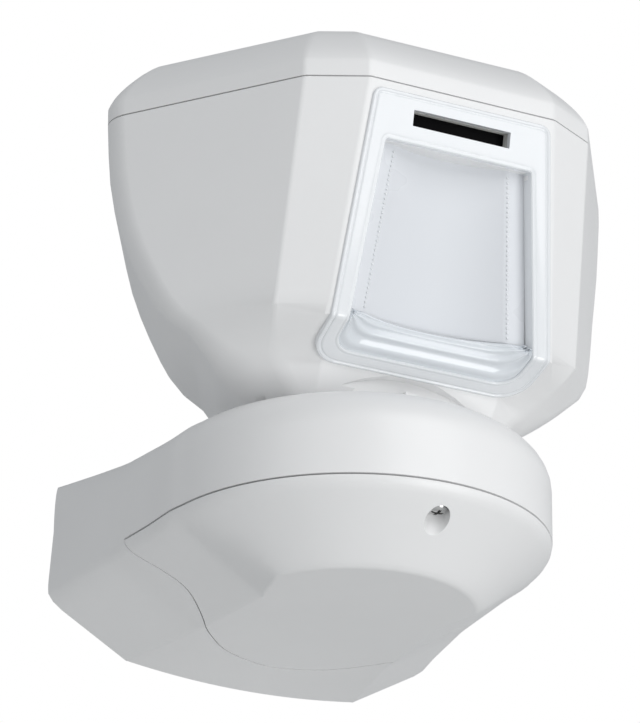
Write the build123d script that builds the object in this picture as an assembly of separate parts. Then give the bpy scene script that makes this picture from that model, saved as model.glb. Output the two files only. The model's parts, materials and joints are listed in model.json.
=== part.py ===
from build123d import *
import os
from math import atan2, hypot, radians, sin, tan

# Swivel-head motion sensor on a wall bracket.
# Frame: origin at the centre of the bracket's wall face, the wall is the plane
# y = 0, the sensor looks along -Y, +Z is up. Millimetres.
# Heights marked "over deck" are measured from the bracket's flat top, the deck.

# ---- driving dimensions -------------------------------------------------------
DECK_Z = 23.0            # deck height over the centre of the wall face
PIVOT_Y = -61.5          # swivel axis, measured out from the wall
GAP = 0.3                # clearance between pieces that move apart
RUN_FIT = 0.06           # radial running clearance of the swivel spindle
SLIP_FIT = 0.05          # radial clearance of screws and plungers

# bracket
BRACKET_WALL = 2.6
BACK_PLATE = 3.0
DECK_PLATE = 3.4
RING_R = 39.1            # edge of the flat ring under the neck
RIM_R = 53.4             # widest radius of the drum
SHOULDER_DROP = 13.0     # deck to the foot of the shoulder
SEAM_DROP = 27.7         # deck to the seam of the underside cover
FLOOR_DROP = 46.0        # deck to the flat underside
FLOOR_R = 33.2           # radius where the lower cone meets the underside
WALL_TOP_HALF = 56.1     # wall face, half width at the deck
WALL_SHOULDER_HALF = 57.2
WALL_HIP_HALF = 58.8     # wall face, half width at its widest
WALL_HIP_DROP = 32.3
WALL_FOOT_HALF = 34.6    # wall face, half width at the underside
WAIST_Y = -28.0
WAIST_HALF = 45.0
WAIST_SHOULDER_HALF = 55.0
WAIST_HIP_HALF = 55.6
WAIST_HIP_DROP = 31.0
WAIST_FOOT_HALF = 29.0
SIDE_FOOT_HALF = 26.0    # underside, half width at the swivel axis
NOSE_FOOT_HALF = 21.0    # underside, half width at its front corners
NOSE_Y = -83.0

# underside cover
COVER_WALL = 2.4
COVER_SEAM_GAP = 0.35
COVER_EDGE = (           # the cover's rear edge in plan, from its ear to the centre line
    (62.0, -36.0),
    (53.0, -38.5),
    (45.0, -41.5),
    (38.0, -42.0),
    (31.0, -37.0),
    (24.0, -29.0),
    (15.0, -21.5),
    (0.0, -17.4),
)
COVER_SCREW_R = 46.0     # cover screw's distance from the swivel axis
SCREW_SHANK_R = 1.5
SCREW_HEAD_R = 2.9
SCREW_HEAD_H = 2.0
SCREW_LENGTH = 10.0
INSERT_R = 2.4
INSERT_LENGTH = 6.0
BOSS_R = 4.6
COUNTERBORE_R = 3.4

# wall fixing and cable entry
WALL_HOLE_R = 2.2
WALL_HOLE_X = 36.0
WALL_HOLE_Z = 13.5
CABLE_R = 3.2            # cable hole in the grommet
CABLE_Z = 11.0
GROMMET_R = 5.4
GROMMET_FLANGE_R = 7.6
GROMMET_FLANGE = 1.6

# swivel
SPINDLE_R = 14.0
SPINDLE_BORE_R = 9.5
SPINDLE_FLANGE_R = 20.0
SPINDLE_FLANGE = 2.0
SPINDLE_FOOT_DROP = 15.0
NUT_R = 19.0
NUT_H = 4.0
WASHER_R = 18.5
WASHER_T = 1.2
WAVE_T = 0.8
WAVE_GAP = 0.5
DETENT_GAP = 0.4         # between the click ring and the follower's nose
DETENT_NOSE_R = 0.8
FOLLOWER_T = 2.6
FOLLOWER_GAP = 2.2       # between the spindle and the follower
DETENT_R = SPINDLE_R + FOLLOWER_GAP + FOLLOWER_T + DETENT_NOSE_R + DETENT_GAP
DETENT_W = 3.0
DETENT_H = 2.2
DETENT_NOTCH_R = 1.0
DETENT_STEP = 7.5        # degrees between click positions
SWIVEL_LIMIT = 45.0      # degrees each way
STOP_W = 3.0
STOP_GAP = 0.5           # between the click ring and the stops
STOP_R = DETENT_R + DETENT_W + STOP_GAP + STOP_W / 2
STOP_H = 3.0
STOP_HALF_ANGLE = 5.0
SEAL_R = 31.0
SEAL_SECTION_R = 0.9

# head housing
HEAD_WALL = 2.5
HEAD_SEAM = 78.0         # over deck: top of the housing
CREASE = 14.6            # over deck: fold between front face and chin
CHIN = 8.6               # over deck: underside of the head
NECK_BASE = 0.4          # over deck: foot of the neck
NECK_R = 33.2
NECK_TOP = 12.0          # over deck: where the neck runs into the housing
NECK_TOP_R = 34.8
NECK_BORE_GAP = 1.0      # between the stops and the neck
NECK_BORE_R = STOP_R + STOP_W / 2 + NECK_BORE_GAP
FRONT_TOP_Y = -122.8
FRONT_TOP_HALF = 27.9
FRONT_FOOT_Y = -110.2
FRONT_FOOT_HALF = 33.2
CHAMFER_TOP = (43.1, -114.8)
CHAMFER_FOOT = (45.3, -102.4)
SIDE_TOP = (76.4, -66.1)
REAR_TOP = (49.8, -23.0)
EDGE_R = 3.2
SIDE_R = 9.0
REAR_R = 14.0
HEAD_TUCK = (            # drop under the seam, then how far the side and rear corners move in
    (16.0, (1.0, 0.0), (0.9, 0.0)),
    (31.0, (3.5, 1.4), (4.1, 0.5)),
    (43.0, (6.6, 4.9), (9.1, 1.0)),
    (53.0, (10.2, 8.6), (14.4, 2.0)),
    (60.5, (17.6, 12.9), (23.7, 3.0)),
)
CHIN_FRONT_HALF = 26.5
CHIN_CHAMFER = (38.0, -90.5)
CHIN_SIDE = (49.5, -79.5)
CHIN_REAR = (22.0, -30.0)
CHEEK_FOOT = ((26.5, -90.5), (30.0, -88.5), (34.0, -77.0), (28.0, -77.0))
SCOOP_HALF = 26.0        # arch over the front of the neck
SCOOP_WALL = 2.5
CHEEK_BASE = 1.2         # over deck: foot of the cheeks beside the arch

# top cap
CAP_GAP = 0.4
CAP_BAND = 4.2           # height of the upright band
CAP_EAVE = 11.5          # height of the leaning facets above the band
CAP_EAVE_INSET = 8.7
CAP_CROWN = 7.0          # height of the crown above the facets
CAP_CROWN_INSET = 21.0
CAP_WALL = 2.4
CAP_RADII = (12.0, 14.0, 14.0, 20.0)     # corner radii of the leaning facets' top
CAP_SCREW_Y = -42.0
BOSS_H = 14.0
VENT_R = 4.0
VENT_X = -22.0
VENT_Z = 62.0            # over deck
SEAL_LEDGE = 2.4
SEAL_DEPTH = 3.0
SEAL_W = 2.2
SEAL_H = 2.0

# front bezel and windows, measured on the leaning front face
BEZEL_T = 2.2
BEZEL_PROUD = 0.8
BEZEL_TOP = 62.6         # up the face from the crease
BEZEL_TOP_HALF = 26.6
BEZEL_RIM = 5.3
BEZEL_CORNER_R = 3.0
CHIN_REACH = 15.4        # how far the bezel wraps back under the chin
CHIN_CORNER_R = 9.0
WINDOW_TOP = 49.2
WINDOW_TOP_HALF = 21.9
WINDOW_FOOT_HALF = 27.4
SLOT_HALF = 14.6
SLOT_LOW = 54.0
SLOT_HIGH = 58.4
SLOT_DEPTH = 3.0
LENS_T = 1.0
LENS_RECESS = 3.5
LENS_R = 36.0
LENS_TOP_HALF = 16.8
LENS_FOOT_HALF = 21.6
LENS_FLANGE = 4.0
LENS_FOOT = 3.2          # lower edge of the lens, up the face
FRAME_DEPTH = 6.0

# electronics
BOARD_Y = -78.0
BOARD_HALF = 38.0
BOARD_T = 1.6
BOARD_LOW = 17.0
BOARD_HIGH = 73.0
STANDOFF = 4.0
CHASSIS_T = 2.0
CHASSIS_HALF = 41.0
CHASSIS_FOOT_X = 28.0
PYRO_R = 4.1
PYRO_H = 4.2
PYRO_LOW = 34.0
LED_HIGH = 20.4
PYRO_HIGH = 55.0
PLUNGER_R = 1.4
TRIMMER_R = 3.0


def over_deck(height):
    """Row height of a level given over the deck."""
    return DECK_Z + height


# ---- shared shapes ------------------------------------------------------------
def cyl(radius, low, high, x=0.0, y=0.0):
    """Upright cylinder between two row heights."""
    return Pos(x, y, low) * Cylinder(radius, high - low, align=(Align.CENTER, Align.CENTER, Align.MIN))


def tube(outer, inner, low, high, x=0.0, y=0.0):
    """Upright ring between two row heights."""
    return cyl(outer, low, high, x, y) - cyl(inner, low - 1, high + 1, x, y)


def rod_y(radius, y_from, y_to, x, z):
    """Cylinder along Y."""
    turned = Rot(-90, 0, 0) * Cylinder(radius, y_to - y_from, align=(Align.CENTER, Align.CENTER, Align.MIN))
    return Pos(x, y_from, z) * turned


def block(x_half, y_from, y_to, low, high, x=0.0):
    """Box with its middle at x."""
    size = Box(2 * x_half, y_to - y_from, high - low, align=(Align.CENTER, Align.MIN, Align.MIN))
    return Pos(x, y_from, low) * size


def write(part, node):
    """Write one node."""
    part.label = node
    export_step(part, f"parts/{node}.step")


def between(low, high, share):
    """Point a share of the way from low to high."""
    return tuple(a + (b - a) * share for a, b in zip(low, high))


# ---- bracket ------------------------------------------------------------------
def drum_form(inset):
    """Solid of the drum round the swivel axis, with every wall moved in by inset."""
    slope = hypot(RIM_R - FLOOR_R, FLOOR_DROP - SEAM_DROP) / (FLOOR_DROP - SEAM_DROP)
    top = over_deck(0) - (inset and DECK_PLATE)
    floor = over_deck(-FLOOR_DROP) + inset
    rim = RIM_R - inset
    foot = FLOOR_R - inset * (slope - 1) - inset * 0.4
    points = [
        (0, top),
        (RING_R - inset, top),
        (rim, over_deck(-SHOULDER_DROP)),
        (rim, over_deck(-SEAM_DROP)),
        (foot, floor),
        (0, floor),
    ]
    outline = make_face(Polyline(*[(x, 0, z) for x, z in points], close=True))
    return Pos(0, PIVOT_Y, 0) * revolve(outline, Axis.Z) & facet_form(inset)


def symmetric_face(y, half):
    """Face on a plane parallel to the wall from the corners (x, height) of its right half."""
    points = half + [(-x, z) for x, z in reversed(half)]
    return make_face(Polyline(*[(x, y, z) for x, z in points], close=True))


def facet_section(y, hip_half, foot_half, inset):
    """Section of the room between the two leaning facets under the hips."""
    run = (hip_half - foot_half) / (FLOOR_DROP - WAIST_HIP_DROP)
    above = FLOOR_DROP - WAIST_HIP_DROP
    wide = hip_half + run * above - inset
    return symmetric_face(y, [
        (wide, over_deck(1)),
        (wide, over_deck(above - WAIST_HIP_DROP)),
        (foot_half - inset, over_deck(-FLOOR_DROP)),
    ])


def facet_form(inset):
    """Room between the two leaning facets, from the wall to ahead of the drum."""
    ahead = PIVOT_Y - RIM_R - 5
    taper = (SIDE_FOOT_HALF - NOSE_FOOT_HALF) * (PIVOT_Y - ahead) / (PIVOT_Y - NOSE_Y)
    wall = facet_section(0, WALL_HIP_HALF, WALL_FOOT_HALF, inset)
    waist = facet_section(WAIST_Y, WAIST_HIP_HALF, WAIST_FOOT_HALF, inset)
    side = facet_section(PIVOT_Y, RIM_R, SIDE_FOOT_HALF, inset)
    nose = facet_section(ahead, RIM_R - taper, SIDE_FOOT_HALF - taper, inset)
    return loft([wall, waist], ruled=True) + loft([waist, side], ruled=True) + loft([side, nose], ruled=True)


def arm_section(y, halves, hip_drop, inset):
    """Cross-section of the arm on a plane parallel to the wall, from its four half widths."""
    top, shoulder, hip, foot = halves
    return symmetric_face(y, [
        (top - inset, over_deck(0) - (inset and DECK_PLATE)),
        (shoulder - inset, over_deck(-SHOULDER_DROP)),
        (hip - inset, over_deck(-hip_drop) + inset * 0.5),
        (foot - inset * 0.5, over_deck(-FLOOR_DROP) + inset),
    ])


def arm_form(inset):
    """Solid of the arm from the wall to the drum's middle."""
    wall_halves = (WALL_TOP_HALF, WALL_SHOULDER_HALF, WALL_HIP_HALF, WALL_FOOT_HALF)
    waist_halves = (WAIST_HALF, WAIST_SHOULDER_HALF, WAIST_HIP_HALF, WAIST_FOOT_HALF)
    side_halves = (RING_R, RIM_R, RIM_R, SIDE_FOOT_HALF)
    wall = arm_section(0, wall_halves, WALL_HIP_DROP, inset)
    waist = arm_section(WAIST_Y, waist_halves, WAIST_HIP_DROP, inset)
    side = arm_section(PIVOT_Y, side_halves, WAIST_HIP_DROP, inset)
    return loft([wall, waist], ruled=True) + loft([waist, side], ruled=True)


def bracket_form(inset):
    """Arm and drum together."""
    return arm_form(inset) + drum_form(inset)


def cover_plan(margin):
    """Plan outline of the cover, grown by margin at its S-shaped rear edge."""
    whole = [(x, y + margin) for x, y in COVER_EDGE]
    whole = whole + [(-x, y) for x, y in reversed(whole[:-1])]
    far = PIVOT_Y - RIM_R - 9
    edge = Spline(*whole)
    sides = Polyline(whole[-1], (whole[-1][0], far), (whole[0][0], far), whole[0])
    return make_face(Curve() + [edge, sides])


def cover_space(margin):
    """Everything below the seam and ahead of the rear edge."""
    deep = over_deck(-FLOOR_DROP) - 5
    high = over_deck(-SEAM_DROP) + margin
    return extrude(Pos(0, 0, deep) * cover_plan(margin), high - deep)


def screw_y():
    return PIVOT_Y - COVER_SCREW_R


def insert_top():
    return over_deck(-SEAM_DROP) + COVER_SEAM_GAP + INSERT_LENGTH + 1.5


def bracket_shell():
    body = bracket_form(0) - bracket_form(BRACKET_WALL) - cover_space(COVER_SEAM_GAP)
    seam = over_deck(-SEAM_DROP) + COVER_SEAM_GAP
    boss = cyl(BOSS_R, seam, insert_top() + 1.5, 0, screw_y())
    boss += block(2.0, screw_y() - BOSS_R - 2, screw_y(), seam, insert_top() + 1.5)
    body += boss & bracket_form(0)
    body -= cyl(INSERT_R, seam - 1, insert_top(), 0, screw_y())
    body -= cyl(SPINDLE_R + RUN_FIT, over_deck(-DECK_PLATE) - 1, over_deck(0) + 1, 0, PIVOT_Y)
    groove = Torus(SEAL_R, SEAL_SECTION_R + SLIP_FIT)
    body -= Pos(0, PIVOT_Y, over_deck(0.1) - SEAL_SECTION_R) * groove
    for side in (-1, 1):
        turn = 90 + side * (SWIVEL_LIMIT + 2 * STOP_HALF_ANGLE + 1)
        body += stop_lug(turn, over_deck(-1), over_deck(STOP_H))
    return body


def wall_plate():
    """Flat plate that closes the arm at the wall and takes the wall screws."""
    body = arm_form(BRACKET_WALL + SLIP_FIT) & block(WALL_HIP_HALF, -BACK_PLATE, 0, *plate_levels())
    for side in (-1, 1):
        for level in (-1, 1):
            body -= rod_y(WALL_HOLE_R, -BACK_PLATE - 1, 1, side * WALL_HOLE_X, level * WALL_HOLE_Z)
    return body - rod_y(GROMMET_R, -BACK_PLATE - 1, 1, 0, CABLE_Z)


def plate_levels():
    return over_deck(-FLOOR_DROP), over_deck(0)


def stop_lug(angle, low, high):
    """Short upright stop on the stop circle, at an angle from +X."""
    width = 2 * STOP_R * tan(radians(STOP_HALF_ANGLE))
    lug = Box(STOP_W, width, high - low, align=(Align.CENTER, Align.CENTER, Align.MIN))
    return Pos(0, PIVOT_Y, low) * Rot(0, 0, angle) * Pos(STOP_R, 0, 0) * lug


def cable_grommet():
    inner = -BACK_PLATE - GROMMET_FLANGE
    body = rod_y(GROMMET_R - SLIP_FIT, -BACK_PLATE, -GAP, 0, CABLE_Z)
    body += rod_y(GROMMET_FLANGE_R, inner, -BACK_PLATE, 0, CABLE_Z)
    body += rod_y(CABLE_R + 1.4, inner - 2.5, inner, 0, CABLE_Z)
    return body - rod_y(CABLE_R, inner - 4, 1, 0, CABLE_Z)


def cover_insert():
    seam = over_deck(-SEAM_DROP) + COVER_SEAM_GAP
    ring = tube(INSERT_R - SLIP_FIT, SCREW_SHANK_R + SLIP_FIT, seam + 0.2, insert_top() - 1.2, 0, screw_y())
    groove = tube(INSERT_R + 1, INSERT_R - 0.4, seam + 2.6, seam + 3.6, 0, screw_y())
    return ring - groove


def detent_ring():
    ring = tube(DETENT_R + DETENT_W, DETENT_R, over_deck(0), over_deck(DETENT_H), 0, PIVOT_Y)
    count = int(SWIVEL_LIMIT / DETENT_STEP)
    for step in range(-count, count + 1):
        place = Pos(0, PIVOT_Y, 0) * Rot(0, 0, -90 + step * DETENT_STEP) * Pos(DETENT_R, 0, 0)
        ring -= place * cyl(DETENT_NOTCH_R, over_deck(-1), over_deck(DETENT_H + 1))
    return ring


def neck_seal():
    ring = Torus(SEAL_R, SEAL_SECTION_R)
    return Pos(0, PIVOT_Y, over_deck(0.1) - SEAL_SECTION_R) * ring


# ---- bracket interior ---------------------------------------------------------
TERMINAL_Y = -24.0
TERMINAL_WAYS = 6
TERMINAL_PITCH = 5.0
TERMINAL_FLOOR = -16.0   # over deck: underside of the terminal block
TERMINAL_H = 8.0
TERMINAL_D = 9.0
SWITCH_X = 22.0
SWITCH_Y = -86.0
SWITCH_LOW = -21.0


def carrier_board():
    low = over_deck(TERMINAL_FLOOR + TERMINAL_H)
    high = over_deck(-DECK_PLATE)
    half = TERMINAL_WAYS * TERMINAL_PITCH / 2 + 5
    plate = block(half, TERMINAL_Y - TERMINAL_D / 2 - 3, TERMINAL_Y + TERMINAL_D / 2 + 3, low, low + BOARD_T)
    for side in (-1, 1):
        plate += cyl(2.2, low + BOARD_T, high, side * (half - 3), TERMINAL_Y)
    return plate


def terminal_block():
    low = over_deck(TERMINAL_FLOOR)
    half = TERMINAL_WAYS * TERMINAL_PITCH / 2
    body = block(half, TERMINAL_Y - TERMINAL_D / 2, TERMINAL_Y + TERMINAL_D / 2, low, low + TERMINAL_H)
    for way in range(TERMINAL_WAYS):
        x = (way - (TERMINAL_WAYS - 1) / 2) * TERMINAL_PITCH
        body -= block(1.6, TERMINAL_Y, TERMINAL_Y + TERMINAL_D, low + 2.8, low + 6.2, x)
        body -= cyl(1.7, low - 1, low + 2.0, x, TERMINAL_Y - 1.5)
    return body


def terminal_screws():
    low = over_deck(TERMINAL_FLOOR)
    screws = []
    for way in range(TERMINAL_WAYS):
        x = (way - (TERMINAL_WAYS - 1) / 2) * TERMINAL_PITCH
        head = cyl(1.5, low + 0.5, low + 2.0, x, TERMINAL_Y - 1.5)
        screws.append(head - block(0.25, TERMINAL_Y - 4, TERMINAL_Y + 1, low, low + 1.1, x))
    return Compound(children=screws)


def tamper_switch():
    low = over_deck(SWITCH_LOW)
    high = over_deck(-DECK_PLATE)
    body = block(4.0, SWITCH_Y - 3, SWITCH_Y + 3, low, low + 8, SWITCH_X)
    body += block(2.0, SWITCH_Y - 2, SWITCH_Y + 2, low + 8, high, SWITCH_X)
    return body - cyl(PLUNGER_R + SLIP_FIT, low - 1, low + 4.5, SWITCH_X, SWITCH_Y)


def tamper_plunger():
    low = over_deck(SWITCH_LOW)
    return cyl(PLUNGER_R, low - 2.4, low + 3.0, SWITCH_X, SWITCH_Y)


# ---- underside cover ----------------------------------------------------------
def cover_screw_seat():
    """Height of the face that the cover screw's head bears on."""
    return over_deck(-SEAM_DROP) - 3.4


def bracket_cover():
    skin = bracket_form(0) - bracket_form(COVER_WALL)
    body = skin & cover_space(0)
    top = over_deck(-SEAM_DROP)
    solid = bracket_form(0) & cover_space(0)
    body += solid & cyl(BOSS_R + 1, over_deck(-FLOOR_DROP), top, 0, screw_y())
    body -= cyl(COUNTERBORE_R, over_deck(-FLOOR_DROP), cover_screw_seat(), 0, screw_y())
    body -= cyl(SCREW_SHANK_R + SLIP_FIT, over_deck(-FLOOR_DROP), top + 1, 0, screw_y())
    post_top = over_deck(SWITCH_LOW) - 2.4 - GAP
    post = cyl(2.2, over_deck(-FLOOR_DROP), post_top, SWITCH_X, SWITCH_Y)
    body += post & (solid + cyl(2.2, top, post_top, SWITCH_X, SWITCH_Y))
    return body


def cover_screw():
    seat = cover_screw_seat()
    head = cyl(SCREW_HEAD_R, seat - GAP - SCREW_HEAD_H, seat - GAP, 0, screw_y())
    head -= cross_recess(seat - GAP - SCREW_HEAD_H, 0, screw_y(), 1)
    return head + cyl(SCREW_SHANK_R, seat - GAP, seat + SCREW_LENGTH, 0, screw_y())


def cross_recess(face, x, y, up):
    """Cross drive cut into a screw head whose face is at this height; up is where the head lies."""
    depth = 1.1
    low, high = (face - 0.5, face + depth) if up > 0 else (face - depth, face + 0.5)
    return block(0.45, y - 1.7, y + 1.7, low, high, x) + block(1.7, y - 0.45, y + 0.45, low, high, x)


# ---- swivel -------------------------------------------------------------------
def spindle():
    floor = over_deck(CHIN + HEAD_WALL)
    foot = over_deck(-SPINDLE_FOOT_DROP)
    body = cyl(SPINDLE_R, foot, floor, 0, PIVOT_Y)
    body += cyl(SPINDLE_FLANGE_R, floor, floor + SPINDLE_FLANGE, 0, PIVOT_Y)
    return body - cyl(SPINDLE_BORE_R, foot - 1, floor + SPINDLE_FLANGE + 1, 0, PIVOT_Y)


def friction_washer():
    top = over_deck(-DECK_PLATE) - GAP
    return tube(WASHER_R, SPINDLE_R + SLIP_FIT, top - WASHER_T, top, 0, PIVOT_Y)


def wave_washer():
    top = over_deck(-DECK_PLATE) - GAP - WASHER_T
    return tube(WASHER_R - 0.6, SPINDLE_R + 0.4, top - WAVE_T, top, 0, PIVOT_Y)


def spindle_nut():
    top = over_deck(-DECK_PLATE) - GAP - WASHER_T - WAVE_T
    flats = RegularPolygon(NUT_R, 8, major_radius=True)
    body = Pos(0, PIVOT_Y, top - NUT_H) * extrude(flats, NUT_H)
    return body - cyl(SPINDLE_R, top - NUT_H - 1, top + 1, 0, PIVOT_Y)


def detent_follower():
    low = over_deck(GAP)
    high = over_deck(CHIN)
    reach = DETENT_R - DETENT_GAP - DETENT_NOSE_R
    arm = Pos(0, PIVOT_Y, 0) * block(4.0, -reach, -(reach - FOLLOWER_T), low, high)
    nose = cyl(DETENT_NOSE_R, low, over_deck(DETENT_H), 0, PIVOT_Y - reach)
    return arm + nose


# ---- head ---------------------------------------------------------------------
def head_levels():
    """Plan corners of the head at each level: height, front, chamfer, side and rear corner."""
    def face(share):
        front = between((FRONT_FOOT_HALF, FRONT_FOOT_Y), (FRONT_TOP_HALF, FRONT_TOP_Y), share)
        return front, between(CHAMFER_FOOT, CHAMFER_TOP, share)
    tall = HEAD_SEAM - CREASE
    rows = [(HEAD_SEAM, *face(1.0), SIDE_TOP, REAR_TOP)]
    for drop, side_in, rear_in in HEAD_TUCK:
        front, chamfer = face(1 - drop / tall)
        side = (SIDE_TOP[0] - side_in[0], SIDE_TOP[1] - side_in[1])
        rear = (REAR_TOP[0] - rear_in[0], REAR_TOP[1] - rear_in[1])
        rows.append((HEAD_SEAM - drop, front, chamfer, side, rear))
    return rows


def chin_corners():
    """Plan corners of the head's underside."""
    return (CHIN_FRONT_HALF, FRONT_FOOT_Y + CHIN_REACH), CHIN_CHAMFER, CHIN_SIDE, CHIN_REAR


def plan(height, corners, inset=0.0, radii=(EDGE_R, EDGE_R, SIDE_R, REAR_R)):
    """Plan section of the head at a height over the deck, moved in by inset."""
    right = [(x, y, r) for (x, y), r in zip(corners, radii)]
    whole = right + [(-x, y, r) for x, y, r in reversed(right)]
    size = len(whole)
    moved = []
    for i, (x, y, r) in enumerate(whole):
        before, after = whole[i - 1], whole[(i + 1) % size]
        moved.append(inset_corner(before, (x, y), after, inset))
    edges = []
    rounds = [arc_corner(moved[i - 1], moved[i], moved[(i + 1) % size], max(whole[i][2] - inset, 0.6))
              for i in range(size)]
    for i in range(size):
        start, middle, end = rounds[i]
        edges.append(ThreePointArc(start, middle, end))
        edges.append(Line(end, rounds[(i + 1) % size][0]))
    return Pos(0, 0, over_deck(height)) * make_face(Curve() + edges)


def unit(a, b):
    length = hypot(b[0] - a[0], b[1] - a[1])
    return (b[0] - a[0]) / length, (b[1] - a[1]) / length


def inset_corner(before, corner, after, inset):
    """Corner of the outline whose two sides are moved in by inset (outline runs anticlockwise)."""
    a = unit(before, corner)
    b = unit(corner, after)
    cross = a[0] * b[1] - a[1] * b[0]
    share = inset / cross
    return corner[0] + share * (a[0] * -1 + b[0]), corner[1] + share * (a[1] * -1 + b[1])


def arc_corner(before, corner, after, radius):
    """Start, middle and end of the arc that rounds a corner."""
    a = unit(corner, before)
    b = unit(corner, after)
    half = atan2(abs(a[0] * b[1] - a[1] * b[0]), a[0] * b[0] + a[1] * b[1]) / 2
    reach = radius / tan(half)
    bisector = unit((0, 0), (a[0] + b[0], a[1] + b[1]))
    middle = radius / sin(half) - radius
    return (
        (corner[0] + a[0] * reach, corner[1] + a[1] * reach),
        (corner[0] + bisector[0] * middle, corner[1] + bisector[1] * middle),
        (corner[0] + b[0] * reach, corner[1] + b[1] * reach),
    )


def head_form(inset):
    """Solid of the housing above the neck, with its walls moved in by inset."""
    rows = head_levels()
    sections = [plan(height, corners, inset) for height, *corners in rows]
    upper = loft(sections)
    last = sections[-1]
    under = plan(CHIN + inset, chin_corners(), inset)
    body = upper + loft([last, under], ruled=True)
    return body


def neck_form():
    """Cone of the neck round the swivel axis."""
    points = [
        (0, over_deck(NECK_BASE)),
        (NECK_R, over_deck(NECK_BASE)),
        (NECK_TOP_R, over_deck(NECK_TOP)),
        (0, over_deck(NECK_TOP)),
    ]
    outline = make_face(Polyline(*[(x, 0, z) for x, z in points], close=True))
    return Pos(0, PIVOT_Y, 0) * revolve(outline, Axis.Z)


def cheeks():
    """Two lobes that carry the chin's corners down beside the arch."""
    front, chamfer, side, _ = chin_corners()
    top = [front, chamfer, side, (CHEEK_FOOT[1][0], side[1])]
    high = over_deck(CHIN + 0.5)
    low = over_deck(CHEEK_BASE)
    lobe = loft([make_face(Polyline(*[(x, y, z) for x, y in points], close=True))
                 for points, z in ((top, high), (CHEEK_FOOT, low))], ruled=True)
    return lobe + mirror(lobe, Plane.YZ)


def scoop():
    """Arched cut over the front of the neck."""
    rise = CHIN - NECK_BASE
    radius = (SCOOP_HALF ** 2 + rise ** 2) / (2 * rise)
    face = PIVOT_Y - NECK_BORE_R - SCOOP_WALL
    arch = rod_y(radius, face - 40, face, 0, over_deck(CHIN) - radius)
    return arch & block(SCOOP_HALF, face - 40, face, over_deck(-10), over_deck(CHIN))


def housing():
    inner = CHIN + HEAD_WALL
    body = head_form(0) + neck_form() + cheeks()
    rows = head_levels()
    hollow = loft([plan(height, corners, HEAD_WALL) for height, *corners in rows])
    seat = over_deck(HEAD_SEAM - SEAL_DEPTH)
    hollow += Pos(0, 0, seat) * extrude(flat_plan(HEAD_WALL), SEAL_DEPTH + 1)
    under = plan(inner, chin_corners(), HEAD_WALL + 3)
    hollow += loft([plan(rows[-1][0], rows[-1][1:], HEAD_WALL), under], ruled=True)
    body -= hollow
    body -= cyl(NECK_BORE_R, over_deck(NECK_BASE) - 1, over_deck(CHIN), 0, PIVOT_Y)
    body -= cyl(SPINDLE_R, over_deck(CHIN) - 1, over_deck(inner) + 1, 0, PIVOT_Y)
    body -= scoop()
    ledge = seal_ring(HEAD_WALL - 0.2, HEAD_WALL + SEAL_LEDGE)
    body += Pos(0, 0, seat - SEAL_LEDGE) * extrude(ledge, SEAL_LEDGE)
    body += stop_lug(90, over_deck(STOP_H + GAP) - STOP_H, over_deck(CHIN + 0.5))
    body += pointer_tab()
    body -= bezel_pocket()
    boss_top = over_deck(HEAD_SEAM - 1.0)
    boss = cyl(BOSS_R, boss_top - BOSS_H, boss_top, 0, CAP_SCREW_Y)
    boss += block(2.0, CAP_SCREW_Y, REAR_TOP[1] - HEAD_WALL / 2, boss_top - BOSS_H, boss_top - SEAL_DEPTH)
    body += boss
    body -= cyl(INSERT_R, boss_top - BOSS_H + 1.5, boss_top + 1, 0, CAP_SCREW_Y)
    return body - rod_y(VENT_R, REAR_TOP[1] - HEAD_WALL - 2, REAR_TOP[1] + 1, VENT_X, over_deck(VENT_Z))


def flat_plan(inset):
    """Plan of the head at the seam, laid on height 0."""
    level, *corners = head_levels()[0]
    return Pos(0, 0, -over_deck(level)) * plan(level, corners, inset)


def seal_ring(outer, inner):
    """Flat ring that follows the head's plan between two insets."""
    return flat_plan(outer) - flat_plan(inner)


def pointer_tab():
    """Small index under the arch that shows the head's heading."""
    low = over_deck(NECK_BASE)
    face = PIVOT_Y - NECK_BORE_R - SCOOP_WALL
    return block(1.6, face - 2.2, face + 1, low, low + 4.5)


# ---- leaning front face and chin ----------------------------------------------
def face_plane():
    """Plane of the front face: X across, Y up the face from the crease, Z outward."""
    rise = HEAD_SEAM - CREASE
    lean = FRONT_FOOT_Y - FRONT_TOP_Y
    length = hypot(rise, lean)
    normal = (0, -rise / length, -lean / length)
    return Plane(origin=(0, FRONT_FOOT_Y, over_deck(CREASE)), x_dir=(1, 0, 0), z_dir=normal)


def chin_plane():
    """Plane of the chin: X across, Y from the chin's rear up to the crease, Z outward."""
    drop = CREASE - CHIN
    length = hypot(CHIN_REACH, drop)
    normal = (0, -drop / length, -CHIN_REACH / length)
    return Plane(origin=(0, FRONT_FOOT_Y, over_deck(CREASE)), x_dir=(1, 0, 0), z_dir=normal)


def chin_length():
    return hypot(CHIN_REACH, CREASE - CHIN)


def on_plane(plane, sketch, out_from, out_to):
    """Sketch in a plane, raised between two distances along the plane's normal."""
    return plane * Pos(0, 0, out_from) * extrude(sketch, out_to - out_from)


def face_outline(foot_half, top_half, foot, top, radius):
    """Upright trapezium on the front face with its two top corners rounded."""
    outline = Polygon((-foot_half, foot), (foot_half, foot), (top_half, top), (-top_half, top), align=None)
    return fillet(outline.vertices().group_by(Axis.Y)[-1], radius)


def chin_outline(half, length, radius):
    """Tongue on the chin with its two rear corners rounded."""
    outline = Polygon((-half + 0.5, -length), (half - 0.5, -length), (half, 0), (-half, 0), align=None)
    return fillet(outline.vertices().group_by(Axis.Y)[0], radius)


def bezel_foot_half():
    return FRONT_FOOT_HALF - 0.4


def bezel_blank(margin, out_from, out_to):
    """Outer shape of the bezel, grown by margin."""
    face = face_outline(bezel_foot_half() + margin, BEZEL_TOP_HALF + margin, -1, BEZEL_TOP + margin, BEZEL_CORNER_R)
    chin = chin_outline(bezel_foot_half() + margin, chin_length() + margin, CHIN_CORNER_R)
    return on_plane(face_plane(), face, out_from, out_to) + on_plane(chin_plane(), chin, out_from, out_to)


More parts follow.
